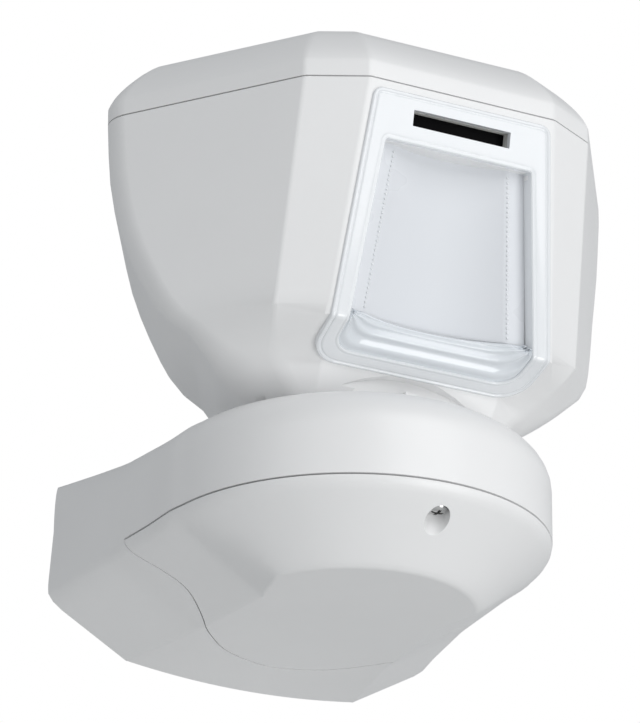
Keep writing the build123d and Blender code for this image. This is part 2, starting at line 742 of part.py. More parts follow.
def window_half(level):
    """Half width of the main window at a level up the face."""
    return WINDOW_FOOT_HALF + (WINDOW_TOP_HALF - WINDOW_FOOT_HALF) * level / WINDOW_TOP


def window_outline(margin, foot, top):
    """Outline with the main window's leaning sides, grown by margin, between two levels."""
    return face_outline(window_half(foot) + margin, window_half(top) + margin, foot, top, 1.0)


def window_blank(margin, out_from, out_to):
    """Opening of the main window, carried on down into the chin."""
    face = window_outline(margin, -1.5, WINDOW_TOP + margin)
    chin = chin_outline(WINDOW_FOOT_HALF + margin, chin_length() - BEZEL_RIM + margin, CHIN_CORNER_R - 3)
    return on_plane(face_plane(), face, out_from, out_to) + on_plane(chin_plane(), chin, out_from, out_to)


def slot_blank(margin, out_from, out_to):
    middle = (SLOT_LOW + SLOT_HIGH) / 2
    slot = Pos(0, middle) * Rectangle(2 * (SLOT_HALF + margin), SLOT_HIGH - SLOT_LOW + 2 * margin)
    return on_plane(face_plane(), slot, out_from, out_to)


def bezel_pocket():
    """What the housing gives up for the bezel and the windows."""
    seat = BEZEL_PROUD - BEZEL_T
    pocket = bezel_blank(0.1, seat, 6)
    pocket += window_blank(1.4, -14, 1)
    return pocket + slot_blank(1.4, -9, 1)


def front_bezel():
    body = bezel_blank(0, BEZEL_PROUD - BEZEL_T, BEZEL_PROUD)
    body -= window_blank(0, -5, 5)
    return body - slot_blank(0, -5, 5)


def lens_half(level):
    """Half width of the lens's curved part at a level up the face."""
    return LENS_FOOT_HALF + (LENS_TOP_HALF - LENS_FOOT_HALF) * level / WINDOW_TOP


def lens_frame():
    """Tray behind the bezel that holds the lens by its two flanges."""
    seat = BEZEL_PROUD - BEZEL_T
    back = -LENS_RECESS - FRAME_DEPTH
    light_foot, light_top = LENS_FOOT, WINDOW_TOP - 0.4
    light = face_outline(lens_half(light_foot) + 0.6, lens_half(light_top) + 0.6, light_foot, light_top, 0.8)
    body = on_plane(face_plane(), window_outline(1.2, LENS_FOOT - 1.2, WINDOW_TOP + 1.2), back, seat)
    body -= on_plane(face_plane(), window_outline(-0.4, LENS_FOOT, WINDOW_TOP - 0.4), -LENS_RECESS - LENS_T, 1)
    return body - on_plane(face_plane(), light, back - 1, 1)


def lens_section(level, half, thickness):
    """Section of the lens across the face: a hollow curve between two flat flanges."""
    deep = LENS_RECESS
    sag = LENS_R - (LENS_R ** 2 - half ** 2) ** 0.5
    front = ThreePointArc((-half, level, -deep), (0, level, -deep - sag), (half, level, -deep))
    back = ThreePointArc((-half, level, -deep - thickness), (0, level, -deep - sag - thickness),
                         (half, level, -deep - thickness))
    wide = half + LENS_FLANGE
    right = Polyline((half, level, -deep), (wide, level, -deep), (wide, level, -deep - thickness),
                     (half, level, -deep - thickness))
    left = Polyline((-half, level, -deep), (-wide, level, -deep), (-wide, level, -deep - thickness),
                    (-half, level, -deep - thickness))
    return make_face(Curve() + [front, right, back, left])


def fresnel_lens():
    low, high = LENS_FOOT + 0.2, WINDOW_TOP - 0.8
    foot = lens_section(low, lens_half(low), LENS_T)
    top = lens_section(high, lens_half(high), LENS_T)
    return face_plane() * loft([foot, top], ruled=True)


def chin_lens():
    """Curved lower window inside the chin's part of the bezel."""
    body = on_plane(chin_plane(), chin_outline(WINDOW_FOOT_HALF - 0.15, chin_length() - BEZEL_RIM - 0.15,
                                               CHIN_CORNER_R - 3), -2.0, 0.3)
    sill = on_plane(face_plane(), Pos(0, 0.9) * Rectangle(2 * WINDOW_FOOT_HALF - 3, 1.8), -9.0, -1.2)
    rows = 3
    for row in range(rows):
        reach = chin_length() - BEZEL_RIM - 1.6 - row * 2.6
        radius = min(CHIN_CORNER_R - 3, reach - 1.2)
        ridge = chin_outline(WINDOW_FOOT_HALF - 2.4, reach, radius)
        ridge -= Pos(0, 0.9) * chin_outline(WINDOW_FOOT_HALF - 3.4, reach, radius)
        body += on_plane(chin_plane(), ridge, 0, 0.7)
    return (body + sill) - on_plane(face_plane(), Pos(0, 4) * Rectangle(90, 4), -12, 3)


def slot_window():
    return slot_blank(1.2, -SLOT_DEPTH - 1.2, -SLOT_DEPTH)


def slot_sleeve():
    """Short duct between the bezel's slot and the black window."""
    seat = BEZEL_PROUD - BEZEL_T
    return slot_blank(1.2, -SLOT_DEPTH, seat) - slot_blank(0, -SLOT_DEPTH - 1, seat + 1)


# ---- optics and electronics ---------------------------------------------------
def board_hole_places():
    return [(side * (BOARD_HALF - 4), over_deck(z)) for side in (-1, 1) for z in (BOARD_LOW + 5, BOARD_HIGH - 5)]


def chassis_y():
    return BOARD_Y + BOARD_T + STANDOFF


def chassis():
    y = chassis_y()
    low = over_deck(CHIN + HEAD_WALL)
    body = block(CHASSIS_HALF, y, y + CHASSIS_T, over_deck(BOARD_LOW + 1), over_deck(BOARD_HIGH - 1))
    for x, z in board_hole_places():
        body += rod_y(2.8, BOARD_Y + BOARD_T, y, x, z)
        body -= rod_y(1.0, BOARD_Y, y + CHASSIS_T - 0.6, x, z)
    window = block(CHASSIS_HALF - 12, y - 1, y + CHASSIS_T + 1, low + 18, over_deck(BOARD_HIGH - 22))
    body -= window
    clear = SPINDLE_FLANGE_R + 1
    body -= block(clear, y - 1, y + CHASSIS_T + 1, low, low + SPINDLE_FLANGE + 3)
    for side in (-1, 1):
        x = side * CHASSIS_FOOT_X
        body += block(4.5, y, y + CHASSIS_T, low, over_deck(BOARD_LOW + 3), x)
        body += block(4.5, y, y + 9, low, low + 3, x)
        body -= cyl(1.5, low - 1, low + 4, x, y + 5.5)
    return body


def chassis_screws():
    low = over_deck(CHIN + HEAD_WALL)
    screws = []
    for side in (-1, 1):
        x = side * CHASSIS_FOOT_X
        y = chassis_y() + 5.5
        head = cyl(2.6, low + 3, low + 4.8, x, y) - cross_recess(low + 4.8, x, y, -1)
        screws.append(head + cyl(1.4, low, low + 3, x, y))
    return Compound(children=screws)


def main_board():
    body = block(BOARD_HALF, BOARD_Y, BOARD_Y + BOARD_T, over_deck(BOARD_LOW), over_deck(BOARD_HIGH))
    for x, z in board_hole_places():
        body -= rod_y(1.4, BOARD_Y - 1, BOARD_Y + BOARD_T + 1, x, z)
    return body


def board_screws():
    screws = []
    for x, z in board_hole_places():
        head = rod_y(2.4, BOARD_Y - 1.7, BOARD_Y, x, z)
        head -= block(0.35, BOARD_Y - 2, BOARD_Y - 1, z - 1.5, z + 1.5, x)
        head -= block(1.5, BOARD_Y - 2, BOARD_Y - 1, z - 0.35, z + 0.35, x)
        screws.append(head + rod_y(0.95, BOARD_Y, chassis_y(), x, z))
    return Compound(children=screws)


def pyro_sensor(height):
    z = over_deck(height)
    body = rod_y(PYRO_R, BOARD_Y - PYRO_H, BOARD_Y, 0, z) + rod_y(PYRO_R + 0.6, BOARD_Y - 0.8, BOARD_Y, 0, z)
    return body - block(2.0, BOARD_Y - PYRO_H - 1, BOARD_Y - PYRO_H + 0.5, z - 1.5, z + 1.5)


def optics_hood():
    """Dark hood that keeps stray light off the lower sensor."""
    z = over_deck(PYRO_LOW)
    def ring(y, half, tall):
        return Plane(origin=(0, y, z), x_dir=(1, 0, 0), z_dir=(0, -1, 0)) * Rectangle(2 * half, 2 * tall)
    near, far = BOARD_Y - 1.0, BOARD_Y - 14.0
    outer = loft([ring(near, 7.5, 7.0), ring(far, 15, 10.5)], ruled=True)
    inner = loft([ring(near + 1, 5.6, 5.4), ring(far - 1, 13.6, 9.4)], ruled=True)
    return outer - inner


def focus_mirror():
    """Curved mirror over the upper sensor, on a tilting carriage."""
    z = over_deck(PYRO_HIGH)
    y = BOARD_Y - 13
    body = block(11, y, y + 6, z + 6, z + 15)
    bowl = Pos(0, y - 12, z - 2) * Sphere(19.5)
    return body - bowl + tilt_axle(z)


def tilt_axle(z):
    axle = Pos(0, BOARD_Y - 8, z + 13) * (Rot(0, 90, 0) * Cylinder(1.5, 30))
    return axle


def mirror_bracket():
    z = over_deck(PYRO_HIGH) + 13
    body = None
    for side in (-1, 1):
        ear = block(1.2, BOARD_Y - 10.5, BOARD_Y, z - 3, z + 3, side * 13.2)
        body = ear if body is None else body + ear
    body += block(14.4, BOARD_Y - 1.2, BOARD_Y, z - 3, z + 3)
    return body - Pos(0, BOARD_Y - 8, z) * (Rot(0, 90, 0) * Cylinder(1.5 + SLIP_FIT, 40))


def status_led():
    z = over_deck(LED_HIGH)
    return rod_y(1.5, BOARD_Y - 5, BOARD_Y, 9, z) + rod_y(1.9, BOARD_Y - 0.9, BOARD_Y, 9, z)


def light_pipe():
    z = over_deck(LED_HIGH)
    return rod_y(1.5, BOARD_Y - 19, BOARD_Y - 5.2, 9, z) + rod_y(2.1, BOARD_Y - 7.2, BOARD_Y - 5.2, 9, z)


def chip(x, z, half, tall, thick):
    y = BOARD_Y + BOARD_T
    return block(half, y, y + thick, over_deck(z), over_deck(z) + tall, x)


def control_chips():
    return Compound(children=[chip(12, 44, 6, 12, 1.4), chip(-8, 50, 4, 8, 1.2), chip(-8, 36, 3, 6, 1.2)])


def alarm_relay():
    return chip(-26, 46, 5, 15, 3.0)


def board_connector():
    return chip(0, 60, 8, 5, 3.6)


def capacitors():
    y = BOARD_Y
    cans = []
    for x, z in ((-24, 30), (-24, 40), (25, 30)):
        cans.append(rod_y(3.0, y - 8, y, x, over_deck(z)))
    return Compound(children=cans)


def trimmer_body():
    y = BOARD_Y
    z = over_deck(52)
    return block(4.5, y - 4, y, z - 4.5, z + 4.5, 25) - rod_y(TRIMMER_R + SLIP_FIT, y - 5, y - 2, 25, z)


def trimmer_rotor():
    y = BOARD_Y
    z = over_deck(52)
    return rod_y(TRIMMER_R, y - 5.2, y - 2 - GAP, 25, z) - block(0.5, y - 6, y - 4.2, z - 2.4, z + 2.4, 25)


def cap_switch():
    low = over_deck(BOARD_HIGH - 10)
    y = BOARD_Y + BOARD_T
    return block(3.5, y, y + 3.9, low, low + 7, 16) - cyl(PLUNGER_R + SLIP_FIT, low + 3, low + 9, 16, y + 1.95)


def cap_plunger():
    low = over_deck(BOARD_HIGH - 10)
    y = BOARD_Y + BOARD_T + 1.95
    return cyl(PLUNGER_R, low + 4.6, over_deck(HEAD_SEAM - 2.0), 16, y)


def housing_insert():
    top = over_deck(HEAD_SEAM) - 1.2
    return tube(INSERT_R - SLIP_FIT, SCREW_SHANK_R + SLIP_FIT, top - INSERT_LENGTH, top, 0, CAP_SCREW_Y)


def vent_plug():
    """Membrane plug in the housing's rear wall, with an inner flange."""
    rear = REAR_TOP[1]
    z = over_deck(VENT_Z)
    body = rod_y(VENT_R - SLIP_FIT, rear - HEAD_WALL - 1, rear - 0.9, VENT_X, z)
    body += rod_y(VENT_R + 1.2, rear - HEAD_WALL - 2.0, rear - HEAD_WALL - 0.8, VENT_X, z)
    return body - rod_y(VENT_R - 1.2, rear - 1.5, rear, VENT_X, z)


def head_gasket():
    ring = seal_ring(HEAD_WALL + 0.05, HEAD_WALL + SEAL_W)
    return Pos(0, 0, over_deck(HEAD_SEAM - SEAL_DEPTH)) * extrude(ring, SEAL_H)


# ---- top cap ------------------------------------------------------------------
def cap_form(inset):
    """Solid of the cap, with its walls moved in by inset."""
    level, *corners = head_levels()[0]
    foot = level + CAP_GAP
    band = foot + CAP_BAND - inset * 0.4
    eave = band + CAP_EAVE - inset * 0.6
    crown = eave + CAP_CROWN
    lower = extrude(plan(foot, corners, inset), band - foot)
    eaves = plan(eave, corners, inset + CAP_EAVE_INSET, CAP_RADII)
    facets = loft([plan(band, corners, inset), eaves], ruled=True)
    top = loft([eaves, plan(crown, corners, inset + CAP_CROWN_INSET, CAP_RADII)], ruled=True)
    return lower + facets + top


def top_cap():
    body = cap_form(0) - cap_form(CAP_WALL)
    solid = cap_form(0)
    low = over_deck(HEAD_SEAM + CAP_GAP)
    roof = over_deck(HEAD_SEAM + 40)
    body += solid & cyl(BOSS_R + 1, low, roof, 0, CAP_SCREW_Y)
    body -= cyl(COUNTERBORE_R, cap_screw_seat(), roof, 0, CAP_SCREW_Y)
    body -= cyl(SCREW_SHANK_R + SLIP_FIT, low - 1, roof, 0, CAP_SCREW_Y)
    return body


def cap_screw_seat():
    return over_deck(HEAD_SEAM + CAP_GAP) + 5.0


def cap_screw():
    seat = cap_screw_seat() + GAP
    head = cyl(SCREW_HEAD_R, seat, seat + SCREW_HEAD_H, 0, CAP_SCREW_Y)
    head -= cross_recess(seat + SCREW_HEAD_H, 0, CAP_SCREW_Y, -1)
    return head + cyl(SCREW_SHANK_R, seat - SCREW_LENGTH - 2, seat, 0, CAP_SCREW_Y)


NODES = {
    "bracket_shell": bracket_shell,
    "wall_plate": wall_plate,
    "cable_grommet": cable_grommet,
    "cover_insert": cover_insert,
    "detent_ring": detent_ring,
    "neck_seal": neck_seal,
    "carrier_board": carrier_board,
    "terminal_block": terminal_block,
    "terminal_screws": terminal_screws,
    "tamper_switch": tamper_switch,
    "tamper_plunger": tamper_plunger,
    "bracket_cover": bracket_cover,
    "cover_screw": cover_screw,
    "swivel_spindle": spindle,
    "friction_washer": friction_washer,
    "wave_washer": wave_washer,
    "spindle_nut": spindle_nut,
    "detent_follower": detent_follower,
    "head_housing": housing,
    "front_bezel": front_bezel,
    "lens_frame": lens_frame,
    "fresnel_lens": fresnel_lens,
    "chin_lens": chin_lens,
    "slot_sleeve": slot_sleeve,
    "slot_window": slot_window,
    "chassis": chassis,
    "chassis_screws": chassis_screws,
    "main_board": main_board,
    "board_screws": board_screws,
    "lower_pyro_sensor": lambda: pyro_sensor(PYRO_LOW),
    "upper_pyro_sensor": lambda: pyro_sensor(PYRO_HIGH),
    "optics_hood": optics_hood,
    "focus_mirror": focus_mirror,
    "mirror_bracket": mirror_bracket,
    "status_led": status_led,
    "light_pipe": light_pipe,
    "control_chips": control_chips,
    "alarm_relay": alarm_relay,
    "board_connector": board_connector,
    "capacitors": capacitors,
    "trimmer_body": trimmer_body,
    "trimmer_rotor": trimmer_rotor,
    "cap_switch": cap_switch,
    "cap_plunger": cap_plunger,
    "housing_insert": housing_insert,
    "vent_plug": vent_plug,
    "head_gasket": head_gasket,
    "top_cap": top_cap,
    "cap_screw": cap_screw,
}

os.makedirs("parts", exist_ok=True)
for name, make in NODES.items():
    write(make(), name)
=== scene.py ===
"""Looks of a wall-mounted motion sensor with a swivelling faceted head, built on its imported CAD."""

import json
import math

import bmesh
import bpy
from mathutils import Matrix, Vector


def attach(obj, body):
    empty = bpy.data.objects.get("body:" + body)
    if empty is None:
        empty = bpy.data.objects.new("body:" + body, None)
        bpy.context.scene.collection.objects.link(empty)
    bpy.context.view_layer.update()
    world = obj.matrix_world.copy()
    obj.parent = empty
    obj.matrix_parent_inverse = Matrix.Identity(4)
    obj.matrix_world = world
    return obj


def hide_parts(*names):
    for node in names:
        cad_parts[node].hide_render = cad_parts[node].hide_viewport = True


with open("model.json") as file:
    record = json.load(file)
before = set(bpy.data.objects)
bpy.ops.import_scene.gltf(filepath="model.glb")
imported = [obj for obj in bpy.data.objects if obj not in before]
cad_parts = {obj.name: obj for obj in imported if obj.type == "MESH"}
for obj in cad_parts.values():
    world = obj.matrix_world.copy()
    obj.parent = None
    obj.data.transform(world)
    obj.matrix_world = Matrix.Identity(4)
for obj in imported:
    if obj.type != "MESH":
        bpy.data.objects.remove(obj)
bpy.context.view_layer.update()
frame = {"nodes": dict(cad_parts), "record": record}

bl_info = {
    "name": "Motion sensor looks",
    "version": (1, 0, 0),
    "blender": (4, 5, 0),
    "location": "3D View > Sidebar > Sensor",
    "description": "Builds the shells, windows and finishes of a swivel-head motion sensor",
    "category": "Object",
}

MM = 0.001
DECK = 23.0              # deck of the bracket over the middle of the wall face
PIVOT_Y = -61.5
SEAM = 78.0              # over deck: joint between housing and cap
CREASE = 14.6            # over deck: fold between front face and chin
CHIN = 8.6
FACE_FOOT = Vector((0.0, -110.2, DECK + CREASE))
FACE_UP = Vector((0.0, -12.6, 63.4)).normalized()
FACE_OUT = Vector((0.0, -63.4, -12.6)).normalized()
CHIN_BACK = Vector((0.0, 15.4, -6.0)).normalized()
CHIN_OUT = Vector((0.0, -6.0, -15.4)).normalized()
COVER_SEAM = -27.7       # over deck
FLOOR = -46.0            # over deck: flat underside of the bracket
HEAD_WALL = 2.5
CAP_WALL = 2.4
BRACKET_WALL = 2.6
DECK_PLATE = 3.4
COVER_WALL = 2.4
SEAM_GAP = 0.5           # open joint round the underside cover
BOSS_R = 4.6
INSERT_R = 2.4
SHANK_R = 1.5
SLIP_FIT = 0.05
COUNTERBORE_R = 3.4
COVER_SCREW_Y = -107.5
CAP_SCREW_Y = -42.0
SPINDLE_R = 14.0
NECK_BORE_R = 27.5
RING_R = 39.1            # edge of the flat ring under the neck
RIM_R = 53.4             # widest radius of the drum
SHOULDER_DROP = 13.0     # deck to the foot of the shoulder
RIM_DROP = 31.0          # deck to the foot of the rim's rounding
CONE_R = 51.1            # drum's radius there
CONE_SLOPE = 1.17
WINDOW_TOP = 49.2        # up the face from the fold
WINDOW_FOOT_HALF = 27.4
WINDOW_TOP_HALF = 21.9
SLOT = [(-14.6, 54.0), (14.6, 54.0), (14.6, 58.4), (-14.6, 58.4)]
LENS_R = 36.0
LENS_RECESS = 3.5
LENS_FOOT_HALF = 21.6
LENS_TOP_HALF = 16.8
LENS_FLANGE = 5.6
LENS_T = 0.8
CHIN_LOW = 11.2          # how far the chin window reaches back from the fold
CHIN_CORNER_R = 6.0


# ---- small tools ----------------------------------------------------------------
def linear(code):
    """Linear colour with full alpha from an sRGB hex code."""
    parts = [int(code[i:i + 2], 16) / 255 for i in (1, 3, 5)]
    return [c / 12.92 if c <= 0.04045 else ((c + 0.055) / 1.055) ** 2.4 for c in parts] + [1.0]


def corner_arcs(corners, steps):
    """Closed outline through corners (x, y, radius), each turned as an arc."""
    points = []
    for i, (x, y, radius) in enumerate(corners):
        here = Vector((x, y))
        back = (Vector(corners[i - 1][:2]) - here).normalized()
        ahead = (Vector(corners[(i + 1) % len(corners)][:2]) - here).normalized()
        half = back.angle(ahead) / 2
        centre = here + (back + ahead).normalized() * radius / math.sin(half)
        start = (here + back * radius / math.tan(half) - centre).normalized()
        end = (here + ahead * radius / math.tan(half) - centre).normalized()
        points += [centre + start.slerp(end, k / steps) * radius for k in range(steps + 1)]
    return points


def smooth_value(keys, at):
    """Value between keyed vectors (position, vector), joined by smooth cubic curves."""
    last = len(keys) - 1
    k = next((i for i in range(last) if at <= keys[i + 1][0]), last - 1)
    (x0, p0), (x1, p1) = keys[k], keys[k + 1]
    before, after = keys[max(k - 1, 0)], keys[min(k + 2, last)]
    span = x1 - x0
    m0 = (p1 - before[1]) / (x1 - before[0]) * span
    m1 = (after[1] - p0) / (after[0] - x0) * span
    t = (at - x0) / span
    return (p0 * (2 * t ** 3 - 3 * t ** 2 + 1) + m0 * (t ** 3 - 2 * t ** 2 + t)
            + p1 * (3 * t ** 2 - 2 * t ** 3) + m1 * (t ** 3 - t ** 2))


def ring(bm, places):
    """Closed loop of edges through places."""
    verts = [bm.verts.new(p) for p in places]
    return [bm.edges.new((verts[i - 1], verts[i])) for i in range(len(verts))]


def level_ring(bm, outline, height):
    """Level loop at a height over the deck."""
    return ring(bm, [(p[0], p[1], DECK + height) for p in outline])


def join_rings(bm, rings, capped=True):
    """Bridges a stack of loops, and closes its ends."""
    for low, high in zip(rings, rings[1:]):
        bmesh.ops.bridge_loops(bm, edges=low + high)
    if capped:
        bmesh.ops.edgeloop_fill(bm, edges=rings[0])
        bmesh.ops.edgeloop_fill(bm, edges=rings[-1])
    bmesh.ops.recalc_face_normals(bm, faces=bm.faces)


def to_object(name, bm):
    """Object in metres from a mesh drawn in millimetres."""
    bmesh.ops.scale(bm, vec=(MM, MM, MM), verts=bm.verts)
    mesh = bpy.data.meshes.new(name)
    bm.to_mesh(mesh)
    bm.free()
    made = bpy.data.objects.new(name, mesh)
    bpy.context.collection.objects.link(made)
    return made


def stack(name, levels):
    """Closed solid from (height over deck, outline) pairs."""
    bm = bmesh.new()
    join_rings(bm, [level_ring(bm, outline, height) for height, outline in levels])
    return to_object(name, bm)


def circle(radius, x=0.0, y=PIVOT_Y, steps=64):
    """Outline round a point, the swivel axis unless another is given."""
    return [(x + radius * math.cos(2 * math.pi * i / steps), y + radius * math.sin(2 * math.pi * i / steps))
            for i in range(steps)]


def post(radius, low, high, x=0.0, y=PIVOT_Y, steps=64):
    """Upright cylinder between two heights over the deck."""
    return stack("post", [(low, circle(radius, x, y, steps)), (high, circle(radius, x, y, steps))])


def block(x_half, y_from, y_to, low, high, x=0.0):
    """Box with its middle at x, between two heights over the deck."""
    outline = [(x - x_half, y_from), (x + x_half, y_from), (x + x_half, y_to), (x - x_half, y_to)]
    return stack("block", [(low, outline), (high, outline)])


def combine(piece, other, how):
    """Joins, cuts or keeps the overlap of two closed solids, and uses up the second."""
    change = piece.modifiers.new("combine", "BOOLEAN")
    change.operation = how
    change.solver = "EXACT"
    change.object = other
    graph = bpy.context.evaluated_depsgraph_get()
    mesh = bpy.data.meshes.new_from_object(piece.evaluated_get(graph))
    piece.modifiers.clear()
    old = piece.data
    piece.data = mesh
    bpy.data.meshes.remove(old)
    bpy.data.objects.remove(other)
    return piece


def dress(piece, body, material, nodes=(), edge=0.0, sharp=32.0):
    """Gives a finished piece its body, finish, softened edges and smooth shading."""
    piece.data.materials.clear()
    piece.data.materials.append(material)
    piece.data.shade_smooth()
    if edge:
        soft = piece.modifiers.new("edges", "BEVEL")
        soft.width = edge * MM
        soft.segments = 3
        soft.limit_method = "ANGLE"
        soft.angle_limit = math.radians(sharp)
        soft.miter_outer = "MITER_ARC"
        soft.harden_normals = False
    else:
        piece.data.set_sharp_from_angle(angle=math.radians(sharp))
    weigh = piece.modifiers.new("normals", "WEIGHTED_NORMAL")
    weigh.keep_sharp = True
    weigh.weight = 80
    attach(piece, body)
    if nodes:
        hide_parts(*nodes)
    return piece


# ---- finishes -------------------------------------------------------------------
def add(tree, kind, settings=None, **links):
    """One node with its settings; a link is a socket, and a plain value is set."""
    made = tree.nodes.new(kind)
    for key, value in (settings or {}).items():
        setattr(made, key, value)
    for key, value in links.items():
        socket = made.inputs[key.replace("_", " ")]
        if isinstance(value, bpy.types.NodeSocket):
            tree.links.new(value, socket)
        else:
            socket.default_value = value
    return made


def finish(name, colour, other, roughness, *, ior=1.5, metallic=0.0, mottle=12.0, grain=0.25, depth=0.004,
           coat=0.0, transmission=0.0, subsurface=0.0, mirror=0.5):
    """Moulded or plated finish: mottled colour, fine surface grain and an uneven sheen.

    mottle and grain are the sizes in millimetres of the colour patches and of the grain,
    depth is the grain's height in millimetres, and mirror is how much it reflects."""
    known = bpy.data.materials.get(name)
    if known:
        return known
    material = bpy.data.materials.new(name)
    material.use_nodes = True
    tree = material.node_tree
    shader = tree.nodes["Principled BSDF"]
    place = add(tree, "ShaderNodeTexCoord").outputs["Object"]
    patches = add(tree, "ShaderNodeTexNoise", Vector=place, Scale=1 / (mottle * MM), Detail=3.0,
                  Roughness=0.55)
    colours = add(tree, "ShaderNodeMix", {"data_type": "RGBA"})
    tree.links.new(patches.outputs["Fac"], colours.inputs[0])
    colours.inputs[6].default_value = linear(colour)
    colours.inputs[7].default_value = linear(other)
    tree.links.new(colours.outputs[2], shader.inputs["Base Color"])
    sheen = add(tree, "ShaderNodeMapRange", Value=patches.outputs["Fac"], From_Min=0.3, From_Max=0.7,
                To_Min=roughness * 0.88, To_Max=min(roughness * 1.12, 1.0))
    tree.links.new(sheen.outputs["Result"], shader.inputs["Roughness"])
    texture = add(tree, "ShaderNodeTexNoise", Vector=place, Scale=1 / (grain * MM), Detail=2.0,
                  Roughness=0.6)
    bump = add(tree, "ShaderNodeBump", Height=texture.outputs["Fac"], Distance=depth * MM, Strength=1.0)
    tree.links.new(bump.outputs["Normal"], shader.inputs["Normal"])
    shader.inputs["Metallic"].default_value = metallic
    if not metallic:
        shader.inputs["IOR"].default_value = ior
    shader.inputs["Specular IOR Level"].default_value = mirror
    shader.inputs["Coat Weight"].default_value = coat
    shader.inputs["Coat Roughness"].default_value = 0.06
    shader.inputs["Transmission Weight"].default_value = transmission
    shader.inputs["Subsurface Weight"].default_value = subsurface
    shader.inputs["Subsurface Radius"].default_value = (0.004, 0.004, 0.004)
    return material


def white_abs():
    """Moulded ABS from a finely etched mould: clean white, satin, with a soft wide highlight."""
    looks = bpy.context.scene.sensor_looks
    return finish("white_abs_satin", looks.shell_colour, looks.shell_shade, 0.34, ior=1.53, mottle=22,
                  grain=0.35, depth=0.003, subsurface=0.05)


def bezel_gloss():
    """Polished ABS bezel: the same white, with sharp reflections like wet paint."""
    return finish("polished_abs_bezel", "#F0F2F4", "#ECEFF2", 0.09, ior=1.53, mottle=30, grain=1.5,
                  depth=0.001, coat=0.35, subsurface=0.05)


def lens_film():
    """Polyethylene lens sheet: milky pale blue-grey, dull sheen over fine grooves."""
    return finish("polyethylene_lens", "#E4E6EA", "#E1E4E8", 0.30, ior=1.51, mottle=30, grain=0.6,
                  depth=0.002, subsurface=0.08)


def chin_window():
    """Polished translucent window under the lens: milky, glassy highlights along its ridges."""
    return finish("polished_milky_window", "#E8ECF0", "#E1E6EB", 0.07, ior=1.51, mottle=10, grain=1.2,
                  depth=0.001, coat=0.4, subsurface=0.08)


NODE_FINISHES = {
    # slot: name, colour, second colour, roughness, and what makes it that material
    "frame_white": ("matt_moulded_white", "#D9D9D6", "#CFCFCB", 0.5, dict(grain=0.3, depth=0.006)),
    "black_filter": ("infrared_filter_glass", "#030304", "#060608", 0.42,
                     dict(ior=1.52, grain=1.0, depth=0.0005, mirror=0.05)),
    "black_nylon": ("black_nylon", "#141414", "#1C1C1C", 0.55, dict(ior=1.53, grain=0.25, depth=0.008)),
    "pale_nylon": ("natural_acetal", "#E4E1D4", "#D9D5C5", 0.38, dict(ior=1.48, grain=0.4, depth=0.004)),
    "seal_rubber": ("silicone_rubber", "#1B1B1D", "#232326", 0.7, dict(ior=1.43, grain=0.2, depth=0.01)),
    "brass": ("turned_brass", "#C9A257", "#B98F45", 0.28,
              dict(metallic=1.0, mottle=2, grain=0.15, depth=0.006)),
    "spring_steel": ("spring_steel", "#A9A9AA", "#9A9A9C", 0.3,
                     dict(metallic=1.0, mottle=3, grain=0.12, depth=0.004)),
    "chrome_screw": ("bright_nickel_plate", "#D4D4D3", "#C6C6C6", 0.16,
                     dict(metallic=1.0, mottle=1.2, grain=0.2, depth=0.003)),
    "sensor_can": ("drawn_steel_can", "#BDBDBE", "#AEAEB0", 0.3,
                   dict(metallic=1.0, mottle=2, grain=0.1, depth=0.003)),
    "circuit_board": ("solder_mask_green", "#0E4A25", "#0B3D1F", 0.3,
                      dict(ior=1.55, mottle=3, grain=0.8, depth=0.01)),
    "terminal_green": ("green_polyamide", "#1F7A3C", "#1A6B34", 0.45, dict(ior=1.53, grain=0.3, depth=0.006)),
    "mirror_coat": ("metallised_mirror", "#E2E2E3", "#D8D8DA", 0.04,
                    dict(metallic=1.0, mottle=8, grain=3, depth=0.0005)),
    "plunger_red": ("red_nylon", "#B3241B", "#A01E16", 0.4, dict(ior=1.53, grain=0.3, depth=0.005)),
    "led_lens": ("clear_red_acrylic", "#D8524C", "#C9443E", 0.08,
                 dict(ior=1.49, grain=1.0, depth=0.0005, transmission=0.7)),
    "chip_black": ("black_epoxy", "#131315", "#1A1A1C", 0.5, dict(ior=1.56, grain=0.15, depth=0.008)),
}


# ---- housing --------------------------------------------------------------------
SIDE_KEYS = [(-SEAM, Vector((76.4, -66.1))), (-62.0, Vector((75.4, -66.1))), (-47.0, Vector((72.9, -67.5))),
             (-35.0, Vector((69.8, -71.0))), (-25.0, Vector((66.2, -74.7))), (-21.0, Vector((63.2, -76.3))),
             (-17.5, Vector((58.8, -79.0)))]
REAR_KEYS = [(-SEAM, Vector((49.8, -23.0))), (-62.0, Vector((48.9, -23.0))), (-47.0, Vector((45.7, -23.5))),
             (-35.0, Vector((40.7, -24.0))), (-25.0, Vector((35.4, -25.0))), (-21.0, Vector((31.8, -25.5))),
             (-17.5, Vector((26.1, -26.0)))]
CHIN_CORNERS = [Vector((26.5, -94.8)), Vector((38.0, -90.5)), Vector((49.5, -79.5)), Vector((22.0, -30.0))]
NECK_CORNERS = [Vector((26.0, -88.5)), Vector((29.5, -86.0)), Vector((33.5, -70.0)), Vector((14.0, -46.0))]
HEAD_RADII = (3.2, 3.2, 9.0, 14.0)
CHIN_RADII = (3.2, 12.0, 13.0, 12.0)
NECK_RADII = (2.0, 5.0, 13.0, 8.0)
ARC_STEPS = 8


